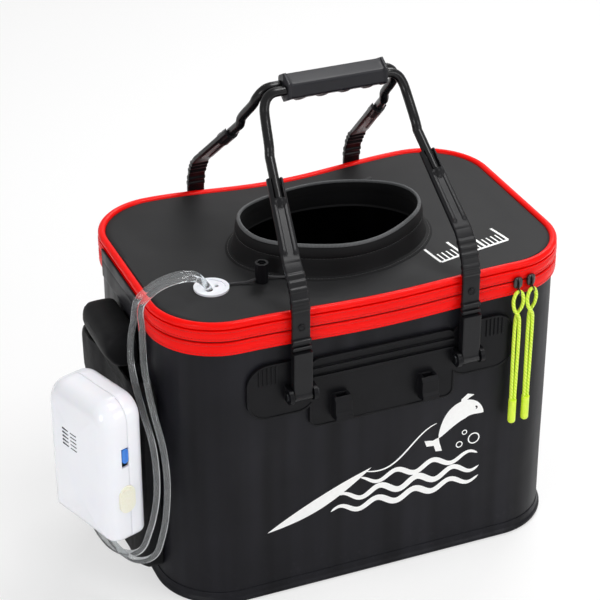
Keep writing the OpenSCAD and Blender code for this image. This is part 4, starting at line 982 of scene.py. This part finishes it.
def collar_point(turn, up, proud):
    """A point of the collar: turn round it, up from its foot 0 to 1, and proud of its middle in mm."""
    c, s = math.cos(turn), math.sin(turn)
    lean = 1.3 * math.sin(3 * turn + 0.6) + 0.8 * math.sin(5 * turn + 2)
    a = 92.8 - 6 * up + proud + lean * up
    b = 66.8 - 6 * up + proud + lean * up
    x, y = collar_x + a * c, collar_y + b * s
    foot = lid_level(x, y)
    wave = 1.1 * math.sin(2 * turn + 1) + 0.6 * math.sin(5 * turn)
    return (x, y, foot + up * (328 - foot + wave))


# Coated cloth of the collar: soft black, plain woven at 0.8 mm, dull, with slight greying on the folds.
collar_cloth, tree, shader = material("coated_oxford_cloth", "#0b0b0c", Roughness=0.6, Sheen_Weight=0.03,
    Specular_IOR_Level=0.12)
place = add(tree, "TexCoord")
warp = add(tree, "TexWave", {"Vector": place.outputs["UV"], "Scale": 1 / 0.0025}, bands_direction="X")
weft = add(tree, "TexWave", {"Vector": place.outputs["UV"], "Scale": 1 / 0.0025}, bands_direction="Y")
weave = add(tree, "Math", {0: warp.outputs[0], 1: weft.outputs[0]}, operation="MULTIPLY")
fade = add(tree, "TexNoise", {"Vector": place.outputs["Object"], "Scale": 1 / 0.03, "Detail": 3})
base = add(tree, "Mix", {0: fade.outputs[0], 6: linear("#0a0a0b"), 7: linear("#141415")}, data_type="RGBA")
yarn = add(tree, "Mix", {0: weave.outputs[0], 6: base.outputs[2], 7: linear("#1a1a1c")}, data_type="RGBA")
tree.links.new(yarn.outputs[2], shader.inputs["Base Color"])
relief = add(tree, "Bump", {"Height": weave.outputs[0], "Distance": 0.0001, "Strength": 0.7})
tree.links.new(relief.outputs[0], shader.inputs["Normal"])

profile = [(0, 6.5), (0.012, 6.8), (0.03, 6.2), (0.036, 3), (0.05, 1.6), (0.12, 1.2), (0.3, 1.05), (0.5, 1.0),
    (0.58, 0.9), (0.6, 0.55), (0.62, 1.2), (0.7, 1.9),
    (0.8, 2.2), (0.9, 1.8), (0.97, 1.2), (1.0, 0.7), (1.0, -0.9), (0.95, -1.2), (0.8, -1.6), (0.62, -1.2),
    (0.6, -0.8), (0.4, -1.2), (0.1, -1.2), (-0.1, -1.2), (-0.1, 0.5), (0, 0.6)]
around = [2 * math.pi * k / 96 for k in range(96)]
collar = skin("hand_collar", [[collar_point(turn, up, proud) for up, proud in profile] for turn in around],
    collar_cloth, joined=True)
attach(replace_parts(collar, "collar"), "lid")

# Woven binding: light grey grosgrain with a rib every 1.2 mm.
grosgrain, tree, shader = material("grey_grosgrain_binding", "#4c4d4f", Roughness=0.65, Sheen_Weight=0.1)
place = add(tree, "TexCoord")
ribs = add(tree, "TexWave", {"Vector": place.outputs["UV"], "Scale": 1 / 0.0038}, bands_direction="Y")
yarn = add(tree, "Mix", {0: ribs.outputs[0], 6: linear("#2d2e2f"), 7: linear("#626466")}, data_type="RGBA")
tree.links.new(yarn.outputs[2], shader.inputs["Base Color"])
relief = add(tree, "Bump", {"Height": ribs.outputs[0], "Distance": 0.0002, "Strength": 0.7})
tree.links.new(relief.outputs[0], shader.inputs["Normal"])
fold = [(0.97, 1.1), (0.985, 1.6), (1.02, 1.6), (1.055, 1.15), (1.075, 0.2), (1.06, -0.9), (1.03, -1.5),
    (0.99, -1.6), (0.97, -1.0)]
binding = skin("collar_edge_binding",
    [[collar_point(turn, up, proud) for up, proud in fold] for turn in around], grosgrain, joined=True)
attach(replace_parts(binding, "collar_binding"), "lid")
rows = []
for up, proud in ((0.6, 0.9), (0.03, 4.6)):
    rows += spaced([collar_point(turn, up, proud) for turn in around], 3.2, closed=True)
stitching = capsules("collar_stitches", rows, 2.3, 0.5, black_thread)
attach(stitching, "lid")

# Pull tab: a folded scrap of webbing sewn flat behind the collar.
tab_rings = []
for x, lift in ((70, 0.1), (70.4, 0.5), (72, 0.9), (76, 0.9), (80, 1.1), (82.5, 1.5), (83.6, 1.3), (84, 0.5)):
    foot = lid_level(x, 84.5)
    tab_rings.append([(x, 82, foot + 0.1), (x, 81.9, foot + lift), (x, 83, foot + 2 * lift),
        (x, 86, foot + 2 * lift), (x, 87.1, foot + lift), (x, 87, foot + 0.1)])
tab = skin("collar_pull_tab", tab_rings, webbing, capped=True)
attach(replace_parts(tab, "back_tab"), "lid")


# Drawcord and cord lock
# A 2 mm braided cord leaves the collar's channel, passes through a sprung barrel lock and is anchored
# under the grommet.

# Braided elastic: black, its plaits 1.2 mm long.
braid, tree, shader = material("black_braided_cord", "#222224", Roughness=0.7, Sheen_Weight=0.3)
place = add(tree, "TexCoord")
plait = add(tree, "TexChecker",
    {"Vector": place.outputs["UV"], "Color1": linear("#151517"), "Color2": linear("#2f2f33"),
    "Scale": 1 / 0.0012})
tree.links.new(plait.outputs[0], shader.inputs["Base Color"])
relief = add(tree, "Bump", {"Height": plait.outputs[1], "Distance": 0.0001, "Strength": 0.6})
tree.links.new(relief.outputs[0], shader.inputs["Normal"])
line = flowing([(-58.4, -70.4, 303.1), (-67, -68, 303.1), (-76, -66, 303.6), (-84, -65, 305.2),
    (-91, -65, 305.5), (-98, -65, 305.2),
    (-105, -64, 303.6), (-112, -62, 303.1), (-120.4, -60.5, 303.1)])
drawcord = tube("collar_drawcord", line, 2, braid, sides=10)
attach(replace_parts(drawcord, "drawcord"), "lid")
dress(moulded_pp, "cord_lock_barrel", "cord_lock_button")


# Hoses and air stones inside the bucket
# Below the grommet each hose hangs to a cylinder of sintered mineral that breaks the air into bubbles.

# Sintered stone: blue grey grains of 0.7 mm fused together, rough and porous.
air_stone, tree, shader = material("sintered_corundum", "#7f8f9c", Roughness=0.95, Specular_IOR_Level=0.2)
place = add(tree, "TexCoord")
grit = add(tree, "TexVoronoi", {"Vector": place.outputs["Object"], "Scale": 1 / 0.0007})
base = add(tree, "Mix", {0: grit.outputs["Distance"], 6: linear("#93a3b0"), 7: linear("#55636f")},
    data_type="RGBA")
tree.links.new(base.outputs[2], shader.inputs["Base Color"])
relief = add(tree, "Bump", {"Height": grit.outputs["Distance"], "Distance": -0.0003, "Strength": 1.0})
tree.links.new(relief.outputs[0], shader.inputs["Normal"])
dress(air_stone, "air_stone_left", "air_stone_right")
for side, sign, way, length in (
        ("left", 1, [(-133, -54.5, 270), (-131, -52, 220), (-134, -48, 160), (-140, -46, 100),
        (-140, -46, 86)], 0.215),
        ("right", -1, [(-133, -66, 270), (-132, -70, 220), (-132, -74, 160), (-133, -77, 110),
        (-133, -77, 96)], 0.205)):
    line = flowing([grommet_hole(sign, -5.1), grommet_hole(sign, -17)] + way)
    hose = tube("inner_air_hose_" + side, line, 6, vinyl_tube)
    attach(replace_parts(hose, "inner_hose_" + side), "lid")


# Handle straps
# Four moulded nylon straps, 17 mm wide. Each hangs from its pin by a thick link, crosses the rim, flexes
# at five cross ridges, and leans in to a forked, ribbed end that grips the steel rod.

# Glass-filled nylon: black with a grey bloom, satin, with a fine grain.
strap_nylon, tree, shader = material("satin_glass_filled_nylon", "#0b0b0d", Roughness=0.3, IOR=1.53,
    Specular_IOR_Level=0.22)
place = add(tree, "TexCoord")
bloom = add(tree, "TexNoise", {"Vector": place.outputs["Object"], "Scale": 1 / 0.012, "Detail": 4})
tint = add(tree, "Mix", {0: bloom.outputs[0], 6: linear("#0b0b0d"), 7: linear("#161619")}, data_type="RGBA")
tree.links.new(tint.outputs[2], shader.inputs["Base Color"])
gleam = add(tree, "MapRange", {0: bloom.outputs[0], 3: 0.26, 4: 0.4})
tree.links.new(gleam.outputs[0], shader.inputs["Roughness"])
grain = add(tree, "TexNoise", {"Vector": place.outputs["Object"], "Scale": 1 / 0.0007, "Detail": 2})
relief = add(tree, "Bump", {"Height": grain.outputs[0], "Distance": 0.00004, "Strength": 0.6})
tree.links.new(relief.outputs[0], shader.inputs["Normal"])

# Half the distance of a handle's legs, and their middle; the strap's upright part and its bend; the turn of
# the bend, the inward lean beyond it, and the length of the leaning blade.
leg_half, leg_middle = 82.5, 1
strap_y, bend_z, bend_r = 133, 297, 60
lean, splay, blade = math.radians(49), math.radians(6), 80
bend_end_y, bend_end_z = strap_y - bend_r + bend_r * math.cos(lean), bend_z + bend_r * math.sin(lean)


def strap_point(side, along):
    """A point on the middle of a leaning strap of the back handle; side is -1 left or 1 right."""
    straight = along * math.cos(splay)
    return Vector((
        leg_middle + side * (leg_half - along * math.sin(splay)),
        bend_end_y - straight * math.sin(lean), bend_end_z + straight * math.cos(lean)))


def strap_stations(side):
    """The strap from its pin up: middle, direction across, direction outward, half width, height of the
    outer and the inner face, and the height of the lengthwise ribs."""
    x0 = leg_middle + side * leg_half
    across, outward = Vector((1, 0, 0)), Vector((0, 1, 0))
    found = []
    for z in [216.2, 216.8, 218, 219.6, 221.4, 223.4] + list(range(226, 264, 6)) + [265.2, 266, 266.2, 267.6,
            267.9, 268.3, 270.7, 271.1, 271.4, 274.6, 274.9, 275.3, 277.7, 278.1, 278.4, 282, 288, 292, 297]:
        half, outer_face, inner_face, ribs = 9, 7, 2, 0
        if z < 222:
            swell = math.sqrt(max(0.2, 36 - (222 - z) ** 2))
            outer_face, inner_face = 2.5 + swell, swell - 2.5
        elif z > 266:
            ridge = 268.3 <= z <= 270.7 or 275.3 <= z <= 277.7
            half, outer_face = (9, 4.4) if ridge else (8.5, 2)
            if z in (267.9, 271.1, 274.9, 278.1):
                half, outer_face = 8.8, 3.8
        found.append((Vector((x0, strap_y, z)), across, outward, half, outer_face, inner_face, ribs))
    for step in range(1, 99):
        turn = lean * step / 98
        away = bend_r * turn
        height, half = 2.0, 8.5
        for ridge in (10, 16, 26, 32, 38):
            d = abs(away - bend_r * math.radians(ridge))
            if d < 2.4:
                height = max(height, math.sqrt(3.1 ** 2 - d * d))
                half = 8.7
        c, s = math.cos(turn), math.sin(turn)
        found.append((Vector((x0, strap_y - bend_r + bend_r * c, bend_z + bend_r * s)), across,
            Vector((0, c, s)), half, height, height, 0))
    tilt = -side * splay
    across = Vector((math.cos(tilt), math.sin(tilt) * math.sin(lean), -math.sin(tilt) * math.cos(lean)))
    outward = Vector((0, math.cos(lean), math.sin(lean)))
    for along in [1, 3, 5, 7, 8, 9, 10, 12, 16, 22, 28, 34, 40, 46, 50, 52, 54, 56, 58, 60, 61, 62, 63, 64,
            68, 72, 76, 79, 80]:
        ribs = ease((along - 7) / 3)
        found.append((strap_point(side, along), across, outward, 8.5 - along / blade, 2.2, 2.2, ribs))
    return found


widths = [-1, -0.985, -0.94, -0.87, -0.78, -0.73, -0.68, -0.62, -0.56, -0.5, -0.46, -0.41, -0.34, -0.25,
    -0.12, 0]
widths += [-w for w in reversed(widths[:-1])]


def strap(name, side, flip):
    """One strap; flip is 1 for the back handle and -1 for the front one."""
    rings = []
    for middle, across, outward, half, outer_face, inner_face, ribs in strap_stations(side):
        along = (middle - strap_point(side, 0)).length if ribs else 0
        boss = 6.5 * ease((along - 50) / 8) if along > 50 else 0
        ring = []
        for face, sign in ((outer_face, 1), (inner_face, -1)):
            for w in widths if sign > 0 else reversed(widths):
                u = half * w
                round_off = 1.1 - math.sqrt(max(0, 1.21 - max(0, abs(u) - half + 1.1) ** 2))
                h = face - round_off
                if ribs and (along < 66 or sign > 0):
                    from_rib = abs(abs(u) - 5 * (1 - 0.1 * along / blade))
                    h += ribs * ease((2.0 - from_rib) / 0.7)
                if boss > abs(u):
                    h = max(h, math.sqrt(boss * boss - u * u))
                if sign > 0 and along > 61 and abs(u) < 4.7:
                    h = 1.6
                ring.append(middle + across * u + outward * (h * sign))
        rings.append([(p.x, p.y * flip, p.z) for p in ring])
    return skin(name, rings, strap_nylon, capped=True, sharp=46)


grip_x, grip_z = 5, 455


def rod_line(side):
    """Half of a rod on the back handle, from its strap up to the grip."""
    reach = 71.5 if side < 0 else 66.5
    return [strap_point(side, 61), strap_point(side, 75), strap_point(side, 88), strap_point(side, 97),
        strap_point(side, 101),
        strap_point(side, 103.5) + Vector((0, 0.6, 1.6)),
        strap_point(side, 107) + Vector((side * -0.4, 0, 6))] + [
        Vector((grip_x + side * out, y, grip_z - low)) for out, y, low in (
            (reach, 15, 19), (reach - 1.5, 10, 11), (reach - 5, 7, 4.5), (reach - 11, 6, 0.6), (50, 6, 0),
            (38, 6, 0))]


# Dipped steel rod: smooth black vinyl over 8 mm wire, glossier than the straps, with faint runs.
dipped_rod, tree, shader = material("vinyl_dipped_steel_rod", "#0a0a0b", Roughness=0.26, IOR=1.52,
    Specular_IOR_Level=0.3)
place = add(tree, "TexCoord")
runs = add(tree, "TexNoise", {"Vector": place.outputs["Object"], "Scale": 1 / 0.01, "Detail": 3})
tint = add(tree, "Mix", {0: runs.outputs[0], 6: linear("#070708"), 7: linear("#0e0e10")}, data_type="RGBA")
tree.links.new(tint.outputs[2], shader.inputs["Base Color"])
relief = add(tree, "Bump", {"Height": runs.outputs[0], "Distance": 0.0004, "Strength": 0.4})
tree.links.new(relief.outputs[0], shader.inputs["Normal"])

# Soft-touch grip: rubbery elastomer over the split core, blue black, with a fine mist texture of 0.5 mm.
soft_grip, tree, shader = material("soft_touch_elastomer", "#0d0d14", Roughness=0.32, IOR=1.5,
    Specular_IOR_Level=0.36)
place = add(tree, "TexCoord")
hands = add(tree, "TexNoise", {"Vector": place.outputs["Object"], "Scale": 1 / 0.015, "Detail": 4})
tint = add(tree, "Mix", {0: hands.outputs[0], 6: linear("#0a0a10"), 7: linear("#13131c")}, data_type="RGBA")
tree.links.new(tint.outputs[2], shader.inputs["Base Color"])
gleam = add(tree, "MapRange", {0: hands.outputs[0], 3: 0.28, 4: 0.46})
tree.links.new(gleam.outputs[0], shader.inputs["Roughness"])
mist = add(tree, "TexNoise", {"Vector": place.outputs["Object"], "Scale": 1 / 0.0005, "Detail": 2})
relief = add(tree, "Bump", {"Height": mist.outputs[0], "Distance": 0.00004, "Strength": 0.6})
tree.links.new(relief.outputs[0], shader.inputs["Normal"])


def grip_ring(x, swell):
    """Section of the back half of the six-sided grip at x, its corners rounded."""
    corners = [(0.1, 13.28), (11.5, 6.64), (11.5, -6.64), (0.1, -13.28)]
    found = [(0.1, 13.0 * swell)]
    for i in range(1, 3):
        before, here, after = (Vector(corners[i - 1]), Vector(corners[i]), Vector(corners[i + 1]))
        enter, leave = here + (before - here).normalized() * 2.2, here + (after - here).normalized() * 2.2
        for k in range(6):
            t = k / 5
            p = enter * (1 - t) ** 2 + here * 2 * t * (1 - t) + leave * t * t
            found.append((p.x * swell, p.y * swell))
        if i == 1:
            found += [(11.5 * swell, z * swell) for z in (3, 0, -3)]
    bump = sum(math.sqrt(max(0, 1 - ((x - grip_x - at) / 5) ** 2)) for at in (-33, -11, 11, 33))
    found += [(6, -9.9 * swell - 0.6 * bump), (3, -11.6 * swell - 1.3 * bump),
        (0.1, -13.0 * swell - 1.6 * bump)]
    return [(x, y, grip_z + z) for y, z in found]


places = [-50, -49.6, -49, -48.2, -47.6, -47.2, -46.6] + [-44 + k * 2 for k in range(45)] + [46.6, 47.2, 47.6,
    48.2, 49, 49.6, 50]
for handle, flip in (("front", -1), ("back", 1)):
    for side, sign in (("left", -1), ("right", 1)):
        piece = strap(handle + "_handle_strap_" + side, sign, flip)
        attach(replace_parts(piece, handle + "_strap_" + side), handle + "_handle")
        boss = capsules(handle + "_strap_boss_" + side,
            [((leg_middle + sign * leg_half, flip * 135.1, 290), (0, 1, 0))], 2.6, 7, strap_nylon)
        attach(boss, handle + "_handle")
    line = rod_line(-1) + list(reversed(rod_line(1)))
    rod = tube(handle + "_handle_rod", [Vector((p.x, p.y * flip, p.z)) for p in flowing(line, 5)], 8.9,
        dipped_rod, sides=20)
    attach(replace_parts(rod, handle + "_rod"), handle + "_handle")
    rings = []
    for at in places:
        flange = 1.06 if 47.5 < abs(at) < 49.7 else 1.03 if abs(at) > 47 else 1
        rings.append([(x, y * flip, z) for x, y, z in grip_ring(grip_x + 0.5 + at * 0.97, flange)])
    grip = skin(handle + "_grip_half_cover", rings, soft_grip, capped=True, sharp=50)
    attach(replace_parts(grip, handle + "_grip_half"), handle + "_handle")


# Zip sliders and pulls
# Two black die-cast sliders at the right-hand end of the front, each with a doubled cord through its eye
# and a moulded end where the strands meet.

# Die-cast zinc under black lacquer: glossy, chipped to a paler edge.
lacquered_zinc, tree, shader = material("black_lacquered_zinc", "#141416", Roughness=0.28, IOR=1.5,
    Coat_Weight=0.4)
place = add(tree, "TexCoord")
chips = add(tree, "TexNoise", {"Vector": place.outputs["Object"], "Scale": 1 / 0.0015, "Detail": 3})
bare = add(tree, "MapRange", {0: chips.outputs[0], 1: 0.66, 2: 0.74})
tint = add(tree, "Mix", {0: bare.outputs[0], 6: linear("#131315"), 7: linear("#4a4b4e")}, data_type="RGBA")
tree.links.new(tint.outputs[2], shader.inputs["Base Color"])
relief = add(tree, "Bump", {"Height": chips.outputs[0], "Distance": 0.0001, "Strength": 0.4})
tree.links.new(relief.outputs[0], shader.inputs["Normal"])

# Fluorescent cord: yellow-green vinyl over a plaited core, the plaits showing through at 2.7 mm.
neon_cord, tree, shader = material("fluorescent_vinyl_cord", "#dcf63c", Roughness=0.38, IOR=1.5,
    Subsurface_Weight=0.15, Subsurface_Scale=0.002)
place = add(tree, "TexCoord")
plait = add(tree, "TexWave", {"Vector": place.outputs["UV"], "Scale": 1 / 0.006, "Distortion": 0},
    bands_direction="DIAGONAL")
tint = add(tree, "Mix", {0: plait.outputs[0], 6: linear("#c6ea1e"), 7: linear("#eaff5c")}, data_type="RGBA")
tree.links.new(tint.outputs[2], shader.inputs["Base Color"])
relief = add(tree, "Bump", {"Height": plait.outputs[0], "Distance": 0.00025, "Strength": 0.7})
tree.links.new(relief.outputs[0], shader.inputs["Normal"])

# The moulded ends: the same colour in solid soft PVC, smoother and a little translucent.
neon_end, tree, shader = material("moulded_fluorescent_pvc", "#dcf63c", Roughness=0.35, IOR=1.5,
    Subsurface_Weight=0.2, Subsurface_Scale=0.003)
place = add(tree, "TexCoord")
flow = add(tree, "TexNoise", {"Vector": place.outputs["Object"], "Scale": 1 / 0.005, "Detail": 3})
tint = add(tree, "Mix", {0: flow.outputs[0], 6: linear("#cdef25"), 7: linear("#e6fb4e")}, data_type="RGBA")
tree.links.new(tint.outputs[2], shader.inputs["Base Color"])
dress(neon_end, "pull_end_left", "pull_end_right")

turned = math.radians(10)
pull_eye, eye_r, eye_wire = Vector((0, -5.4, 277.5)), 2.95, 1.3
slider_frames = {
    "left": Matrix.Translation((133, -128, 0)),
    "right": Matrix.Translation((135, -63, 0)) @ Matrix.Rotation(turned, 4,
    "Z") @ Matrix.Translation((0, -65, 0))}
pull_half = [(-1.9, 0, -115.9), (-1.9, 0, -108), (-2.4, 0, -58), (-1.9, 0.5, -34), (0, 1.9, -25),
    (4.4, 1.2, -17), (5.2, 0.2, -9), (3.6, 0, -2.6), (1.4, 0, 0)]
for side, to_bucket in slider_frames.items():
    rings = []
    for z, half, deep in ((280.1, 1.8, 1.6), (280.5, 3, 2.6), (281.5, 4, 3.3), (283.6, 4.4, 3.7),
            (285.6, 4.5, 3.8), (287.6, 4.4, 3.9), (289.6, 3.9, 3.6), (290.7, 3, 2.8), (291.1, 1.8, 1.8)):
        rings.append([to_bucket @ Vector((x, y, z)) for x,
            y in squared_oval(0, -2.4, half, deep / 2, 0.55, 24)])
    plate = skin("slider_body_" + side, rings, lacquered_zinc, capped=True)
    bridge = tube("slider_bridge_" + side,
        [to_bucket @ p for p in flowing([(0, -3.2, 290), (0, -5.2, 289.2), (0, -5.9, 287), (0, -5.9, 284.4),
        (0, -5.2, 282.2), (0, -3.2, 281.2)])], 2.2, lacquered_zinc, 12)
    keel = tube("slider_keel_" + side,
        [to_bucket @ Vector(p) for p in ((-3, 0.4, 285.6), (0, 0.7, 285.6), (3, 0.4, 285.6))], 0.9,
        lacquered_zinc, 10)
    eye_axis = to_bucket.to_3x3() @ Vector((1, 0, 0))
    rings = []
    for turn in (2 * math.pi * k / 28 for k in range(28)):
        away = to_bucket.to_3x3() @ Vector((0, math.sin(turn), math.cos(turn)))
        p = to_bucket @ pull_eye + away * eye_r
        rings.append([p + (away * math.cos(a) + eye_axis * math.sin(a)) * eye_wire / 2
            for a in (math.pi * j / 5 for j in range(10))])
    eye = skin("slider_eye_" + side, rings, lacquered_zinc, joined=True)
    for piece in (bridge, keel, eye):
        piece.parent = plate
    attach(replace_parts(plate, "zip_slider_" + side), side + "_slider")
    points = pull_half + [(-x, -y, z) for x, y, z in reversed(pull_half)]
    line = [to_bucket @ (pull_eye + p) for p in flowing(points, 7)]
    cord = tube("pull_cord_strands_" + side, line, 3.5, neon_cord, 12)
    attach(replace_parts(cord, "pull_cord_" + side), side + "_pull")


# Printed decoration
# White screen print: plain waves, bubbles and a leaping fish on the front, and a bare tick scale on the
# lid. The ink lies on the foam as a thin raised film.

# Screen-printed vinyl ink: chalk white, slightly thin in places, so the foam's pebble shows through.
white_ink, tree, shader = material("white_screen_ink", "#f4f4f2", Roughness=0.5, IOR=1.5)
place = add(tree, "TexCoord")
cover = add(tree, "TexNoise", {"Vector": place.outputs["Object"], "Scale": 1 / 0.004, "Detail": 5})
tint = add(tree, "Mix", {0: cover.outputs[0], 6: linear("#f2f2f0"), 7: linear("#ffffff")}, data_type="RGBA")
tree.links.new(tint.outputs[2], shader.inputs["Base Color"])
pebble = add(tree, "TexVoronoi", {"Vector": place.outputs["Object"], "Scale": 1 / 0.0008})
relief = add(tree, "Bump", {"Height": pebble.outputs["Distance"], "Distance": 0.00003, "Strength": 0.6})
tree.links.new(relief.outputs[0], shader.inputs["Normal"])


def ribbon(points, widest, shape):
    """Two edges of a printed stroke along points, thin at its ends."""
    edges = []
    last = len(points) - 1
    for i, p in enumerate(points):
        a, b = points[max(0, i - 1)], points[min(last, i + 1)]
        long = math.hypot(b[0] - a[0], b[1] - a[1])
        nx, ny = -(b[1] - a[1]) / long, (b[0] - a[0]) / long
        half = widest / 2 * math.sin(math.pi * i / last) ** shape
        edges.append(((p[0] + nx * half, p[1] + ny * half), (p[0] - nx * half, p[1] - ny * half)))
    return edges


def printed(name, strokes, onto, finish):
    """A film of ink from strokes of paired edges; onto turns a flat point to a point in millimetres."""
    corners, faces = [], []
    for edges in strokes:
        for a, b in edges:
            corners += [onto(*a), onto(*b)]
        base = len(corners) - 2 * len(edges)
        faces += [(base + 2 * i, base + 2 * i + 1, base + 2 * i + 3, base + 2 * i + 2)
            for i in range(len(edges) - 1)]
    return piece_of(name, corners, faces, finish)


def on_front(x, z):
    """A point just proud of the rippled front wall."""
    return (x, -124.9 - wall_ripple(x, -124.9, 0, -1, z) - 0.15, z)


def wave_line(x0, x1, z, tall, long, phase):
    """Points of one wave."""
    return [(x0 + (x1 - x0) * t, z + tall * math.sin(2 * math.pi * (x1 - x0) * t / long + phase))
        for t in shares(60)]


def bubble(x, z, r, line):
    """Two edges of a ring whose line is so wide."""
    turns = [(math.cos(2 * math.pi * t), math.sin(2 * math.pi * t)) for t in shares(32)]
    return [((x + (r - line) * c, z + (r - line) * s), (x + r * c, z + r * s)) for c, s in turns]


back_line = [(62 + 46 * t, 130 + 52 * t - 34 * t * t + 8 * math.sin(math.pi * t)) for t in shares(30)]
strokes = [
    ribbon([(-111 + 104 * t, 69 + 34 * t + 13 * t * t) for t in shares(40)], 13, 0.9),
    ribbon([(-14 + 74 * t, 113 + 26 * t - 9 * math.sin(math.pi * t * 1.6)) for t in shares(40)], 1.8, 0.3),
    ribbon(wave_line(-48, 106, 76, 4.2, 38, 0), 6.5, 0.35),
    ribbon(wave_line(-40, 106, 89, 4.6, 38, 0.9), 6.5, 0.35),
    ribbon(wave_line(-18, 104, 103, 4.2, 38, 1.8), 5.5, 0.35),
    ribbon(back_line, 21, 0.75),
    ribbon([(62, 131), (57, 126), (51, 127), (47, 131)], 7, 0.5),
    ribbon([(62, 131), (60, 124), (62, 118), (66, 115)], 7, 0.5),
    ribbon([(84, 160), (86, 167), (91, 171), (97, 171)], 6, 0.6),
    bubble(99, 121, 6.2, 1.3), bubble(84, 117.5, 3.6, 1.1), bubble(89, 130, 2.8, 1.0)]
motif = printed("front_wave_print", strokes, on_front, white_ink)
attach(motif, "bucket")
eye = printed("front_print_eye", [bubble(99.5, 155.5, 2.0, 2.0)], lambda x,
    z: (x, on_front(x, z)[1] - 0.1, z), eva_sheet)
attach(eye, "bucket")


def on_lid(u, v):
    """A point just above the lid, on the tick scale's own slanted line."""
    c, s = math.cos(math.radians(9)), math.sin(math.radians(9))
    x, y = 74 + u * c - v * s, -92 + u * s + v * c
    return (x, y, lid_level(x, y) + 0.12)


ticks = []
for k in range(16):
    tall, wide = (27, 2.6) if k % 5 == 0 else (14, 1.5)
    ticks.append([((5 * k - wide / 2, t), (5 * k + wide / 2, t))
        for t in [tall * share for share in shares(4)]])
ticks.append([((u, -1.5), (u, 1.2)) for u in [75 * share for share in shares(20)]])
scale = printed("lid_tick_scale", ticks, on_lid, white_ink)
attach(scale, "lid")
